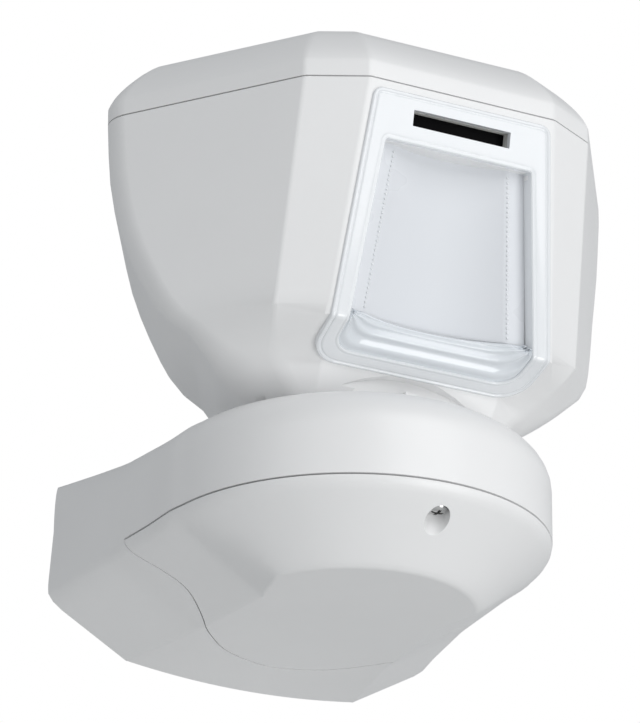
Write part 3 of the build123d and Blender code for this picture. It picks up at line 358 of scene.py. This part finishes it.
def head_corners(height):
    """Front, chamfer, side and rear plan corners of the head at a height over the deck."""
    share = max((height - CREASE) / (SEAM - CREASE), 0.0)
    front = Vector((33.2, -110.2)).lerp(Vector((27.9, -122.8)), share)
    chamfer = Vector((45.3, -102.4)).lerp(Vector((43.1, -114.8)), share)
    at = -max(height, 17.5)
    corners = [front, chamfer, smooth_value(SIDE_KEYS, at), smooth_value(REAR_KEYS, at)]
    if height < 17.5:
        for i, start, ease in ((0, CREASE, 1.0), (1, 17.5, 1.3), (2, 17.5, 1.0), (3, 17.5, 1.0)):
            down = min(max((start - height) / (start - CHIN), 0.0), 1.0) ** ease
            corners[i] = corners[i].lerp(CHIN_CORNERS[i], down)
    if height < CHIN:
        corners = [a.lerp(b, (CHIN - height) / CHIN) for a, b in zip(CHIN_CORNERS, NECK_CORNERS)]
    return corners


def head_radii(height):
    """Corner radii of the head's plan: the corners soften under the chin."""
    down = min(max((17.5 - height) / (17.5 - CHIN), 0.0), 1.0)
    radii = [a + (b - a) * down for a, b in zip(HEAD_RADII, CHIN_RADII)]
    if height < CHIN:
        radii = [a + (b - a) * (CHIN - height) / CHIN for a, b in zip(CHIN_RADII, NECK_RADII)]
    return radii


def head_outline(height, inset=0.0, radii=None):
    """Plan of the head at a height, moved in by inset."""
    radii = radii or head_radii(height)
    right = [(p.x, p.y, r) for p, r in zip(head_corners(height), radii)]
    whole = right + [(-x, y, r) for x, y, r in reversed(right)]
    moved = []
    for i, (x, y, radius) in enumerate(whole):
        here = Vector((x, y))
        a = (here - Vector(whole[i - 1][:2])).normalized()
        b = (Vector(whole[(i + 1) % len(whole)][:2]) - here).normalized()
        here = here + (b - a) * inset / (a.x * b.y - a.y * b.x)
        moved.append((here.x, here.y, max(radius - inset, 0.6)))
    return corner_arcs(moved, ARC_STEPS)


def across_face(u, v, out):
    """Place on the folded front: u across, v up the face, or back along the chin when negative."""
    soft = 0.9
    face = FACE_FOOT + FACE_UP * max(v, 0.0) + FACE_OUT * out
    chin = FACE_FOOT - CHIN_BACK * min(v, 0.0) * 1.0 + CHIN_OUT * out
    if v >= soft:
        place = face
    elif v <= -soft:
        place = chin
    else:
        t = (v + soft) / (2 * soft)
        turn = (FACE_OUT * t + CHIN_OUT * (1 - t)).normalized() * out * (1 + 0.12 * 4 * t * (1 - t))
        place = (FACE_FOOT + CHIN_BACK * soft * (1 - t) ** 2 + FACE_UP * soft * t ** 2) + turn
    return Vector((u, place.y, place.z))


def face_prism(outline, low, high):
    """Solid raised on the front face's plane from an outline of (u, v) between two distances out."""
    bm = bmesh.new()
    loops = [ring(bm, [FACE_FOOT + FACE_UP * v + FACE_OUT * out + Vector((u, 0, 0)) for u, v in outline])
             for out in (low, high)]
    join_rings(bm, loops)
    return to_object("prism", bm)


def chin_prism(outline, low, high):
    """Solid across the chin's plane from an outline of (u, distance back from the fold)."""
    bm = bmesh.new()
    loops = []
    for out in (low, high):
        start = FACE_FOOT + CHIN_OUT * out
        loops.append(ring(bm, [start + CHIN_BACK * back + Vector((u, 0, 0)) for u, back in outline]))
    join_rings(bm, loops)
    return to_object("prism", bm)


def make_housing():
    heights = [SEAM, 70, 62, 54, 47, 41, 35, 29, 25, 21, 17.5, CREASE, 12.6, 10.6, CHIN, 6.8, 5.0, 3.2, 1.2]
    head = stack("head_shell", [(h, head_outline(h)) for h in heights])
    neck = [(0.4, 33.2), (6.0, 33.8), (11.5, 34.8), (13.0, 35.1)]
    combine(head, stack("neck", [(h, circle(r, steps=96)) for h, r in neck]), "UNION")
    rows = (SEAM + 2, 62, 47, 35, 25, 19, 14)
    hollow = stack("hollow", [(h, head_outline(min(h, SEAM), HEAD_WALL)) for h in rows])
    combine(head, hollow, "DIFFERENCE")
    combine(head, post(NECK_BORE_R, -2, CHIN), "DIFFERENCE")
    combine(head, post(SPINDLE_R, 5, 20), "DIFFERENCE")
    arch = bmesh.new()
    rise = CHIN - 0.4
    radius = (26.0 ** 2 + rise ** 2) / (2 * rise)
    places = circle(radius, 0, 0, 160)
    loops = [ring(arch, [(x, y, DECK + CHIN - radius + z) for x, z in places]) for y in (-131.5, -91.5)]
    join_rings(arch, loops)
    combine(head, to_object("arch", arch), "DIFFERENCE")
    combine(head, block(1.6, -94.2, -90.0, 0.4, 4.9), "UNION")
    window = corner_arcs([(-28.8, -2.0, 1), (28.8, -2.0, 1), (23.2, 50.4, 1), (-23.2, 50.4, 1)], 2)
    combine(head, face_prism(window, -14, 3), "DIFFERENCE")
    slot = [(-16, 52.8), (16, 52.8), (16, 59.6), (-16, 59.6)]
    combine(head, face_prism(slot, -9, 3), "DIFFERENCE")
    chin = corner_arcs([(-27.2, -3, 0.5), (27.2, -3, 0.5), (26.8, 11.0, 5.0), (-26.8, 11.0, 5.0)], 4)
    combine(head, chin_prism(chin, -2.9, 3), "DIFFERENCE")
    ledge = stack("ledge", [(h, head_outline(SEAM, 2.3)) for h in (SEAM - 5.4, SEAM - 3)])
    combine(ledge, stack("inside", [(h, head_outline(SEAM, 4.9)) for h in (SEAM - 6, SEAM)]), "DIFFERENCE")
    combine(head, ledge, "UNION")
    combine(head, post(BOSS_R, SEAM - 15, SEAM - 1, 0, CAP_SCREW_Y), "UNION")
    combine(head, block(2.0, CAP_SCREW_Y, -24.3, SEAM - 15, SEAM - 4), "UNION")
    combine(head, post(INSERT_R, SEAM - 13.5, SEAM + 1, 0, CAP_SCREW_Y), "DIFFERENCE")
    return dress(head, "head", white_abs(), ["head_housing"], edge=0.45)


# ---- cap ------------------------------------------------------------------------
CAP_PROFILE = [
    # rise over the band, then how far the walls have moved in
    (rise, Vector((inset, 0.0))) for rise, inset in (
        (0.0, 0.0), (2.4, 1.0), (5.4, 3.0), (8.4, 5.6), (11.4, 8.6), (14.4, 12.6), (17.2, 18.0), (18.5, 21.5))
]
CROWN_RADII = (12.0, 14.0, 14.0, 20.0)


def cap_ring(height, inset, round_up):
    """Plan of the cap, with its corners growing rounder towards the crown."""
    radii = [a + (b - a) * round_up for a, b in zip(HEAD_RADII, CROWN_RADII)]
    return height, head_outline(SEAM, inset, radii)


def make_cap():
    foot = SEAM + 0.4
    band = foot + 4.2
    levels = [cap_ring(foot, 0.0, 0.0), cap_ring(band, 0.0, 0.0)]
    inner = [cap_ring(foot - 1, CAP_WALL, 0.0), cap_ring(band - 1.0, CAP_WALL, 0.0)]
    rings = 14
    for k in range(1, rings + 1):
        rise = CAP_PROFILE[-1][0] * k / rings
        move = smooth_value(CAP_PROFILE, rise)[0]
        levels.append(cap_ring(band + rise, move, min(k / 9, 1.0)))
        inner.append(cap_ring(band - 1.0 + rise * 0.93, CAP_WALL + move * 0.97, min(k / 9, 1.0)))
    cap = stack("cap_shell", levels)
    combine(cap, stack("inside", inner), "DIFFERENCE")
    combine(cap, post(BOSS_R + 1, foot, SEAM + 19, 0, CAP_SCREW_Y), "UNION")
    combine(cap, post(COUNTERBORE_R, foot + 5, SEAM + 40, 0, CAP_SCREW_Y), "DIFFERENCE")
    combine(cap, post(SHANK_R + SLIP_FIT, foot - 1, SEAM + 40, 0, CAP_SCREW_Y), "DIFFERENCE")
    return dress(cap, "cap", white_abs(), ["top_cap"], edge=0.45, sharp=24)


# ---- bezel and windows ----------------------------------------------------------
def front_loop(inset, out, top, foot_half, top_half, chin, corner, chin_corner):
    """Loop round the folded front, as places on it."""
    half = [(0.0, top - inset)]
    slope = (foot_half - top_half) / top
    tall = top - inset
    def width(v):
        return foot_half - inset - slope * max(v, 0.0) + 0.03 * min(v, 0.0)
    r = max(corner - inset, 0.4)
    centre = Vector((width(tall - r) - r, tall - r))
    half += [(centre.x + r * math.sin(a), centre.y + r * math.cos(a))
             for a in [math.pi / 2 * k / 6 for k in range(7)]]
    low = chin - inset
    rc = max(chin_corner - inset, 0.6)
    marks = [tall * k / 8 for k in range(7, 0, -1)]
    marks += [2.0, 1.2, 0.9, 0.6, 0.3, 0.0, -0.3, -0.6, -0.9, -1.2, -2.0]
    half += [(width(v), v) for v in marks if -low + rc < v < tall - r]
    centre = Vector((width(-low) - rc, -low + rc))
    half += [(centre.x + rc * math.cos(a), centre.y - rc * math.sin(a))
             for a in [math.pi / 2 * k / 10 for k in range(11)]]
    half += [(0.0, -low)]
    whole = half + [(-u, v) for u, v in reversed(half[1:-1])]
    return [across_face(u, v, out) for u, v in whole]


def outer_loop(inset, out):
    return front_loop(inset, out, 62.6, 32.8, 26.6, 16.5, 3.0, 9.0)


def inner_loop(grow, out):
    return front_loop(-grow, out, WINDOW_TOP, WINDOW_FOOT_HALF, WINDOW_TOP_HALF, CHIN_LOW, 0.8,
                      CHIN_CORNER_R)


def make_bezel():
    bm = bmesh.new()
    profile = [outer_loop(0.0, -0.9), outer_loop(0.0, 0.35), outer_loop(0.15, 0.65), outer_loop(0.45, 0.80),
               outer_loop(0.85, 0.80), outer_loop(1.10, 0.55), outer_loop(1.35, 0.50), outer_loop(1.65, 0.72),
               outer_loop(2.0, 0.78), inner_loop(1.5, 0.78), inner_loop(1.2, 0.60), inner_loop(0.9, 0.60),
               inner_loop(0.6, 0.78), inner_loop(0.25, 0.74), inner_loop(0.0, 0.45), inner_loop(0.0, -3.4),
               inner_loop(0.8, -3.4), inner_loop(0.8, -0.9)]
    loops = [ring(bm, places) for places in profile]
    for a, b in zip(loops, loops[1:] + loops[:1]):
        bmesh.ops.bridge_loops(bm, edges=a + b)
    bmesh.ops.recalc_face_normals(bm, faces=bm.faces)
    bezel = to_object("front_bezel_skin", bm)
    combine(bezel, face_prism(SLOT, -3, 3), "DIFFERENCE")
    return dress(bezel, "head", bezel_gloss(), ["front_bezel"], sharp=38)


def lens_half(v):
    return LENS_FOOT_HALF + (LENS_TOP_HALF - LENS_FOOT_HALF) * v / WINDOW_TOP


def lens_depth(u, v):
    """Depth of the lens sheet behind the face: a hollow curve between two flat flanges."""
    half = lens_half(v)
    reach = min(abs(u), half)
    return -LENS_RECESS - (math.sqrt(LENS_R ** 2 - reach ** 2) - math.sqrt(LENS_R ** 2 - half ** 2))


def lens_place(u, v, out=0.0):
    return FACE_FOOT + FACE_UP * v + FACE_OUT * (lens_depth(u, v) + out) + Vector((u, 0, 0))


def make_lens():
    bm = bmesh.new()
    bmesh.ops.create_grid(bm, x_segments=60, y_segments=40, size=1.0)
    for vert in bm.verts:
        v = 26.3 + 23.1 * vert.co.y
        half = lens_half(v)
        across = vert.co.x * 1.24
        flange = half + (abs(across) - 1) / 0.24 * LENS_FLANGE
        u = half * across if abs(across) <= 1 else math.copysign(flange, across)
        vert.co = lens_place(u, v)
    bmesh.ops.recalc_face_normals(bm, faces=bm.faces)
    if sum(f.normal.y for f in bm.faces) > 0:
        bmesh.ops.reverse_faces(bm, faces=bm.faces)
    bmesh.ops.solidify(bm, geom=bm.faces[:], thickness=LENS_T)
    lens = to_object("lens_sheet", bm)
    return dress(lens, "head", lens_film(), ["fresnel_lens"], sharp=40)


def make_lens_frame():
    """Tray behind the bezel: its walls close the recess round the lens."""
    outline = [(-29.2, 0.2), (29.2, 0.2), (23.6, 50.8), (-23.6, 50.8)]
    opening = [(-27.9, -3.0), (27.9, -3.0), (21.9, 49.15), (-21.9, 49.15)]
    tray = face_prism(outline, -11.5, -1.2)
    combine(tray, face_prism(opening, -13, 1), "DIFFERENCE")
    return dress(tray, "head", white_abs(), ["lens_frame"], sharp=38)


def make_lens_beads():
    """Rows of small moulded dots that locate the lens along both flanges."""
    bm = bmesh.new()
    for row in range(34):
        v = 4.6 + row * 1.29
        for side in (-1, 1):
            place = lens_place(side * (lens_half(v) + 0.25), v, 0.05)
            bmesh.ops.create_icosphere(bm, subdivisions=2, radius=0.34, matrix=Matrix.Translation(place))
    beads = to_object("lens_beads", bm)
    return dress(beads, "head", bezel_gloss(), sharp=60)


def make_chin_window():
    """Window between the lens's foot and the chin band: nested glossy ridges."""
    along, over = 72, 40
    bm = bmesh.new()
    bmesh.ops.create_grid(bm, x_segments=along, y_segments=over, size=1.0)
    low, half, corner = CHIN_LOW, WINDOW_FOOT_HALF - SLIP_FIT, CHIN_CORNER_R
    side = low - corner + 2.4
    bend = corner * math.pi / 2
    flat = half - corner - 0.3
    total = side + bend + flat
    for vert in bm.verts:
        s, f = vert.co.x, (vert.co.y + 1) / 2
        run = (1 - abs(s)) * total
        if run < side:
            u, v = half, 2.4 - run
        elif run < side + bend:
            a = (run - side) / corner
            u, v = half - corner + corner * math.cos(a), 2.4 - side - corner * math.sin(a)
        else:
            u, v = half - corner - (run - side - bend) / flat * (half - corner), -low
        outer = across_face(math.copysign(u, s), v, 0.1)
        inner = lens_place(s * 25.4, 3.0, 0.1)
        middle = Vector((s * 27.0, 0, 0)) + FACE_FOOT + FACE_UP * 1.4 - FACE_OUT * 0.2 - CHIN_OUT * 0.4
        place = outer * (1 - f) ** 2 + middle * 2 * f * (1 - f) + inner * f ** 2
        wave = 0.5 - 0.5 * math.cos(2 * math.pi * 3.5 * min(f / 0.8, 1.0))
        lift = (CHIN_OUT * (1 - f) + FACE_OUT * f).normalized() * wave * 0.75 * (1 - 0.3 * f)
        vert.co = place + lift
    bmesh.ops.recalc_face_normals(bm, faces=bm.faces)
    if sum(face.normal.y for face in bm.faces) > 0:
        bmesh.ops.reverse_faces(bm, faces=bm.faces)
    bmesh.ops.solidify(bm, geom=bm.faces[:], thickness=LENS_T)
    window = to_object("chin_window_skin", bm)
    return dress(window, "head", chin_window(), ["chin_lens"], sharp=60)


# ---- bracket --------------------------------------------------------------------
ARM_KEYS = [
    # drop under the deck, then half width at the wall, at the waist and beside the swivel axis
    (drop, Vector(halves)) for drop, *halves in (
        (13.0, 57.2, 55.0, 53.4), (20.0, 57.8, 55.3, 53.4), (27.0, 58.4, 55.5, 53.4),
        (28.5, 58.5, 55.3, 53.1), (29.8, 58.5, 54.6, 52.3), (31.0, 58.4, 53.4, 50.9),
        (33.0, 57.0, 50.6, 47.6), (35.0, 54.3, 47.4, 44.2), (46.0, 34.8, 29.0, 26.0))
]
ARM_TOP = Vector((56.1, 45.0, 39.1))
WAIST = Vector((0.0, 33.5))


def shoulder(drop):
    """How far the rounded shoulder has come out, from 0 at the deck to 1 at its foot."""
    return math.sqrt(1 - (1 - min(drop / SHOULDER_DROP, 1.0)) ** 2) ** 1.12


def arm_halves(drop):
    """Half widths of the arm at a drop under the deck."""
    if drop < SHOULDER_DROP:
        return ARM_TOP.lerp(ARM_KEYS[0][1], shoulder(drop))
    k = next((i for i in range(len(ARM_KEYS) - 1) if drop <= ARM_KEYS[i + 1][0]), len(ARM_KEYS) - 2)
    (low, a), (high, b) = ARM_KEYS[k], ARM_KEYS[k + 1]
    return a.lerp(b, (drop - low) / (high - low))


def soft_corner(a, b, blend, sign):
    """Larger (sign 1) or smaller (sign -1) of two reaches, with the corner between them softened."""
    near = max(blend - abs(a - b), 0.0) / blend
    return (max(a, b) if sign > 0 else min(a, b)) + sign * near * near * blend / 4


def bracket_outline(height, drum, inset=0.0):
    """Plan of arm and drum at a height over the deck, from the front round to the wall."""
    drop = -height
    wall, waist, beside = [half - inset for half in arm_halves(drop)]
    corner = math.atan2(-PIVOT_Y, wall)
    blend = 2.5
    lean = 5.0 / 21.5
    points = []
    steps = 60
    for k in range(steps + 1):
        turn = -math.pi / 2 + (corner + math.pi / 2) * k / steps
        way = Vector((math.cos(turn), math.sin(turn)))
        if turn > 0:
            reach = soft_corner(arm_reach(way, wall, waist, beside), drum if drop < 31 else 0.0, blend, 1)
            if drop > 31:
                reach = arm_reach(way, wall, waist, beside)
        else:
            side = beside / max(way.x + lean * way.y, 0.02) if drop > 28 else 999.0
            reach = soft_corner(side, drum, 1.6, -1)
            if turn > -0.3 and drop < 31:
                reach = soft_corner(reach, beside * math.cos(turn) ** 6, blend, 1)
        if k == steps:
            reach = wall / math.cos(corner)
            points.append((wall, 3.0 if inset else 0.0))
            break
        points.append((reach * way.x, PIVOT_Y + reach * way.y))
    return points + [(-x, y) for x, y in reversed(points[1:])]


def arm_reach(way, wall, waist, beside):
    """Distance from the swivel axis to the arm's side in one direction."""
    corner, bend, start = Vector((wall, -PIVOT_Y)), WAIST + Vector((waist, 0.0)), Vector((beside, 0.0))
    a, b = (start, bend) if way.y * bend.x < way.x * bend.y else (bend, corner)
    along = b - a
    return (a.x * along.y - a.y * along.x) / (way.x * along.y - way.y * along.x)


def bracket_levels(inset=0.0):
    """Heights over the deck with the drum's radius at each."""
    levels = [(-drop, RING_R + (RIM_R - RING_R) * shoulder(drop))
              for drop in (0, 0.12, 0.5, 1.1, 2.0, 3.2, 4.7, 6.4, 8.4, 10.6, SHOULDER_DROP)]
    levels += [(-20.0, RIM_R), (-27.0, RIM_R), (-28.5, RIM_R - 0.3), (-29.8, RIM_R - 1.1)]
    levels += [(-RIM_DROP, CONE_R)]
    levels += [(-drop, CONE_R - (drop - RIM_DROP) * CONE_SLOPE) for drop in (33, 35, 37, 40, 43, 44.6)]
    levels += [(FLOOR + 0.5, 33.9), (FLOOR, 32.6)]
    if not inset:
        return levels
    held = [(h, r - inset) for h, r in levels if -DECK_PLATE >= h >= FLOOR + inset]
    return [(-DECK_PLATE, held[0][1])] + held + [(FLOOR + inset, held[-1][1] - 2.0)]


def bracket_form(inset=0.0):
    levels = bracket_levels(inset)
    form = stack("bracket_form", [(h, bracket_outline(h, r, inset)) for h, r in levels])
    if not inset:
        combine(form, make_keel(), "UNION")
    return form


def make_keel():
    """Shallow bow of the underside, deepest at the wall and fading out under the arm."""
    bm = bmesh.new()
    loops = []
    for k in range(12):
        y = -4.5 * k
        half = 34.5 + 5.6 * y / 28 if y > -28 else 28.8 + 3.0 * (y + 28) / 33.5
        deep = 2.4 * (1 + y / 50) ** 2
        bow = [(x / 16 * half, DECK - 45.97 - deep * (1 - (x / 16) ** 2)) for x in range(-16, 17)]
        outline = bow + [(half, DECK - 45.0), (-half, DECK - 45.0)]
        loops.append(ring(bm, [(x, y, z) for x, z in outline]))
    join_rings(bm, loops)
    return to_object("keel", bm)


def cover_room(gap):
    """Everything under the seam and ahead of the S-shaped rear edge."""
    keys = [(62.0, -36.0), (53.0, -38.5), (45.0, -41.5), (38.0, -42.0), (31.0, -37.0), (24.0, -29.0),
            (15.0, -21.5), (0.0, -17.4)]
    line = keys + [(-x, y) for x, y in reversed(keys[:-1])]
    marks = [(float(i), Vector(p)) for i, p in enumerate(line)]
    edge = [smooth_value(marks, i / 6) for i in range(6 * (len(line) - 1) + 1)]
    outline = [(p.x, p.y + gap) for p in edge] + [(-62.0, -125.0), (62.0, -125.0)]
    return stack("cover_room", [(-52.0, outline), (COVER_SEAM + gap, outline)])


def make_bracket():
    inside = bracket_form(BRACKET_WALL)
    boss_foot, boss_top = COVER_SEAM + 0.35, -18.4
    boss = post(BOSS_R, boss_foot, boss_top, 0, COVER_SCREW_Y)
    combine(boss, block(2.0, COVER_SCREW_Y - 7.0, COVER_SCREW_Y, boss_foot, boss_top), "UNION")
    combine(inside, boss, "DIFFERENCE")
    shell = bracket_form()
    combine(shell, inside, "DIFFERENCE")
    combine(shell, cover_room(SEAM_GAP), "DIFFERENCE")
    combine(shell, post(SPINDLE_R + 0.06, -5, 1), "DIFFERENCE")
    combine(shell, post(INSERT_R, -30, boss_top - 1.5, 0, COVER_SCREW_Y), "DIFFERENCE")
    return dress(shell, "bracket", white_abs(), ["bracket_shell"], edge=0.4)


def make_cover():
    inside = bracket_form(COVER_WALL)
    combine(inside, post(BOSS_R + 1, FLOOR, COVER_SEAM, 0, COVER_SCREW_Y), "DIFFERENCE")
    cover = bracket_form()
    combine(cover, inside, "DIFFERENCE")
    combine(cover, cover_room(0.0), "INTERSECT")
    combine(cover, post(COUNTERBORE_R, -50, -31.1, 0, COVER_SCREW_Y), "DIFFERENCE")
    combine(cover, post(SHANK_R + SLIP_FIT, -50, COVER_SEAM + 1, 0, COVER_SCREW_Y), "DIFFERENCE")
    combine(cover, post(2.2, -44.5, -23.7, 22, -86), "UNION")
    return dress(cover, "cover", white_abs(), ["bracket_cover"], edge=0.4)


# ---- screws ---------------------------------------------------------------------
def screw(name, y, seat, up, body, node, length):
    """Pan-head screw: up is 1 where its head faces up, and seat is the head's underside over the deck."""
    bm = bmesh.new()
    head = [(0.02, 2.0), (1.2, 1.95), (2.0, 1.7), (2.55, 1.2), (2.82, 0.6), (2.88, 0.0), (SHANK_R, 0.0)]
    shank = [(SHANK_R, -length + 0.8), (0.02, -length)]
    verts = [bm.verts.new((x, 0, z * up)) for x, z in head + shank]
    edges = [bm.edges.new(pair) for pair in zip(verts, verts[1:])]
    bmesh.ops.spin(bm, geom=verts + edges, cent=(0, 0, 0), axis=(0, 0, 1), angle=2 * math.pi, steps=40,
                   use_merge=True)
    bmesh.ops.remove_doubles(bm, verts=bm.verts, dist=0.05)
    bmesh.ops.translate(bm, vec=(0, y, DECK + seat), verts=bm.verts)
    bmesh.ops.recalc_face_normals(bm, faces=bm.faces)
    piece = to_object(name, bm)
    low, high = sorted((seat + up * 0.9, seat + up * 3))
    combine(piece, block(0.42, y - 1.7, y + 1.7, low, high), "DIFFERENCE")
    combine(piece, block(1.7, y - 0.42, y + 0.42, low, high), "DIFFERENCE")
    name, *looks, extra = NODE_FINISHES["chrome_screw"]
    return dress(piece, body, finish(name, *looks, **extra), [node], sharp=30)


# ---- add-on ---------------------------------------------------------------------
class SensorLooks(bpy.types.PropertyGroup):
    """Colours and stage sizes that a user may change."""
    shell_colour: bpy.props.StringProperty(
        name="Shell colour", description="Main sRGB colour of the white shells", default="#F4F4F4")
    shell_shade: bpy.props.StringProperty(
        name="Shell shade", description="Second sRGB colour of the white shells", default="#F0F0F0")
    floor_drop: bpy.props.FloatProperty(
        name="Floor drop", description="How far the floor lies under the wall face", default=0.9,
        unit="LENGTH")
    key_power: bpy.props.FloatProperty(
        name="Key light", description="Power of the large light in front", default=3.7, unit="POWER")
    fill_power: bpy.props.FloatProperty(
        name="Fill light", description="Power of the light from the left", default=1.2, unit="POWER")
    under_power: bpy.props.FloatProperty(
        name="Low light", description="Power of the light from below in front", default=4.4, unit="POWER")


class SENSOR_OT_head(bpy.types.Operator):
    """Build the head's housing"""
    bl_idname = "sensor.head"
    bl_label = "Head housing"

    def execute(self, context):
        make_housing()
        return {"FINISHED"}


class SENSOR_OT_cap(bpy.types.Operator):
    """Build the cap over the head"""
    bl_idname = "sensor.cap"
    bl_label = "Top cap"

    def execute(self, context):
        make_cap()
        return {"FINISHED"}


class SENSOR_OT_front(bpy.types.Operator):
    """Build the bezel, the lens sheet with its dots, and the window in the chin"""
    bl_idname = "sensor.front"
    bl_label = "Bezel and lenses"

    def execute(self, context):
        make_bezel()
        make_lens()
        make_lens_frame()
        make_lens_beads()
        make_chin_window()
        return {"FINISHED"}


class SENSOR_OT_bracket(bpy.types.Operator):
    """Build the bracket's shell and its underside cover"""
    bl_idname = "sensor.bracket"
    bl_label = "Bracket and cover"

    def execute(self, context):
        make_bracket()
        make_cover()
        return {"FINISHED"}


class SENSOR_OT_screws(bpy.types.Operator):
    """Build the two visible screws"""
    bl_idname = "sensor.screws"
    bl_label = "Screws"

    def execute(self, context):
        screw("cover_screw_bright", COVER_SCREW_Y, -31.4, -1, "cover_screw", "cover_screw", 10.3)
        screw("cap_screw_bright", CAP_SCREW_Y, SEAM + 5.7, 1, "cap_screw", "cap_screw", 12.0)
        return {"FINISHED"}


class SENSOR_OT_finishes(bpy.types.Operator):
    """Give every remaining solid its material"""
    bl_idname = "sensor.finishes"
    bl_label = "Inner finishes"

    def execute(self, context):
        for part in frame["record"]["subparts"]:
            solid = frame["nodes"][part["node"]]
            slot = part["material_slot"]
            if slot in NODE_FINISHES and not solid.hide_render:
                name, *looks, extra = NODE_FINISHES[slot]
                solid.data.materials.clear()
                solid.data.materials.append(finish(name, *looks, **extra))
        return {"FINISHED"}


class SENSOR_OT_stage(bpy.types.Operator):
    """Set out the floor, the lights, the white surroundings and the camera"""
    bl_idname = "sensor.stage"
    bl_label = "Stage"

    def execute(self, context):
        looks = context.scene.sensor_looks
        bm = bmesh.new()
        bmesh.ops.create_grid(bm, x_segments=2, y_segments=2, size=4.0)
        bmesh.ops.translate(bm, vec=(0, 0, -looks.floor_drop), verts=bm.verts)
        mesh = bpy.data.meshes.new("floor")
        bm.to_mesh(mesh)
        bm.free()
        floor = bpy.data.objects.new("floor", mesh)
        context.collection.objects.link(floor)
        paint = finish("pale_floor", "#F4F4F3", "#EFEFEE", 0.7, mottle=120, grain=2, depth=0.02)
        mesh.materials.append(paint)
        place_light("key", (0.2, -1.05, 0.5), 0.8, looks.key_power)
        place_light("fill", (-0.9, -0.65, 0.1), 0.8, looks.fill_power)
        place_light("under", (0.4, -1.0, -0.5), 0.6, looks.under_power)
        surroundings()
        place_camera()
        return {"FINISHED"}


def place_light(name, place, size, power):
    """Soft square light aimed at the sensor."""
    data = bpy.data.lights.new(name, "AREA")
    data.size = size
    data.energy = power
    lamp = bpy.data.objects.new(name, data)
    lamp.location = place
    lamp.rotation_euler = (Vector((0, -0.07, 0.04)) - lamp.location).to_track_quat("-Z", "Y").to_euler()
    bpy.context.collection.objects.link(lamp)


def surroundings():
    """White behind the sensor, and a dimmer even light from all round."""
    world = bpy.data.worlds.new("studio")
    bpy.context.scene.world = world
    world.use_nodes = True
    tree = world.node_tree
    room = tree.nodes["Background"]
    room.inputs["Color"].default_value = linear("#F2F5F8")
    room.inputs["Strength"].default_value = 0.45
    paper = add(tree, "ShaderNodeBackground", Color=(1, 1, 1, 1), Strength=1.0)
    seen = add(tree, "ShaderNodeLightPath").outputs["Is Camera Ray"]
    mix = tree.nodes.new("ShaderNodeMixShader")
    tree.links.new(seen, mix.inputs[0])
    tree.links.new(room.outputs[0], mix.inputs[1])
    tree.links.new(paper.outputs[0], mix.inputs[2])
    tree.links.new(mix.outputs[0], tree.nodes["World Output"].inputs["Surface"])


def place_camera():
    """Camera low on the left, looking up at the sensor."""
    data = bpy.data.cameras.new("camera")
    data.sensor_fit = "VERTICAL"
    data.sensor_height = 36.0
    data.lens = 5625.48 / 723 * 36.0
    data.clip_start = 0.1
    camera = bpy.data.objects.new("camera", data)
    right = Vector((0.87694, -0.48059, 0.00210))
    up = Vector((-0.18783, -0.33870, 0.92196))
    look = Vector((0.44237, 0.80890, 0.38729))
    turn = Matrix((right, up, -look)).transposed()
    camera.matrix_world = Matrix.Translation(Vector((-0.67305, -1.27535, -0.53427))) @ turn.to_4x4()
    bpy.context.collection.objects.link(camera)
    scene = bpy.context.scene
    scene.camera = camera
    scene.view_settings.view_transform = "Standard"


class SENSOR_PT_panel(bpy.types.Panel):
    """Lists the sensor's operators"""
    bl_idname = "SENSOR_PT_panel"
    bl_label = "Motion sensor"
    bl_space_type = "VIEW_3D"
    bl_region_type = "UI"
    bl_category = "Sensor"

    def draw(self, context):
        for name in ("shell_colour", "shell_shade", "floor_drop", "key_power", "fill_power", "under_power"):
            self.layout.prop(context.scene.sensor_looks, name)
        for kind in OPERATORS:
            self.layout.operator(kind.bl_idname)


OPERATORS = (SENSOR_OT_stage, SENSOR_OT_head, SENSOR_OT_cap, SENSOR_OT_front, SENSOR_OT_bracket,
             SENSOR_OT_screws, SENSOR_OT_finishes)
CLASSES = (SensorLooks, *OPERATORS, SENSOR_PT_panel)


def register():
    for kind in CLASSES:
        bpy.utils.register_class(kind)
    bpy.types.Scene.sensor_looks = bpy.props.PointerProperty(type=SensorLooks)


def unregister():
    del bpy.types.Scene.sensor_looks
    for kind in reversed(CLASSES):
        bpy.utils.unregister_class(kind)


def main():
    register()
    bpy.ops.sensor.stage()
    bpy.ops.sensor.head()
    bpy.ops.sensor.cap()
    bpy.ops.sensor.front()
    bpy.ops.sensor.bracket()
    bpy.ops.sensor.screws()
    bpy.ops.sensor.finishes()


if __name__ == "__main__":
    main()
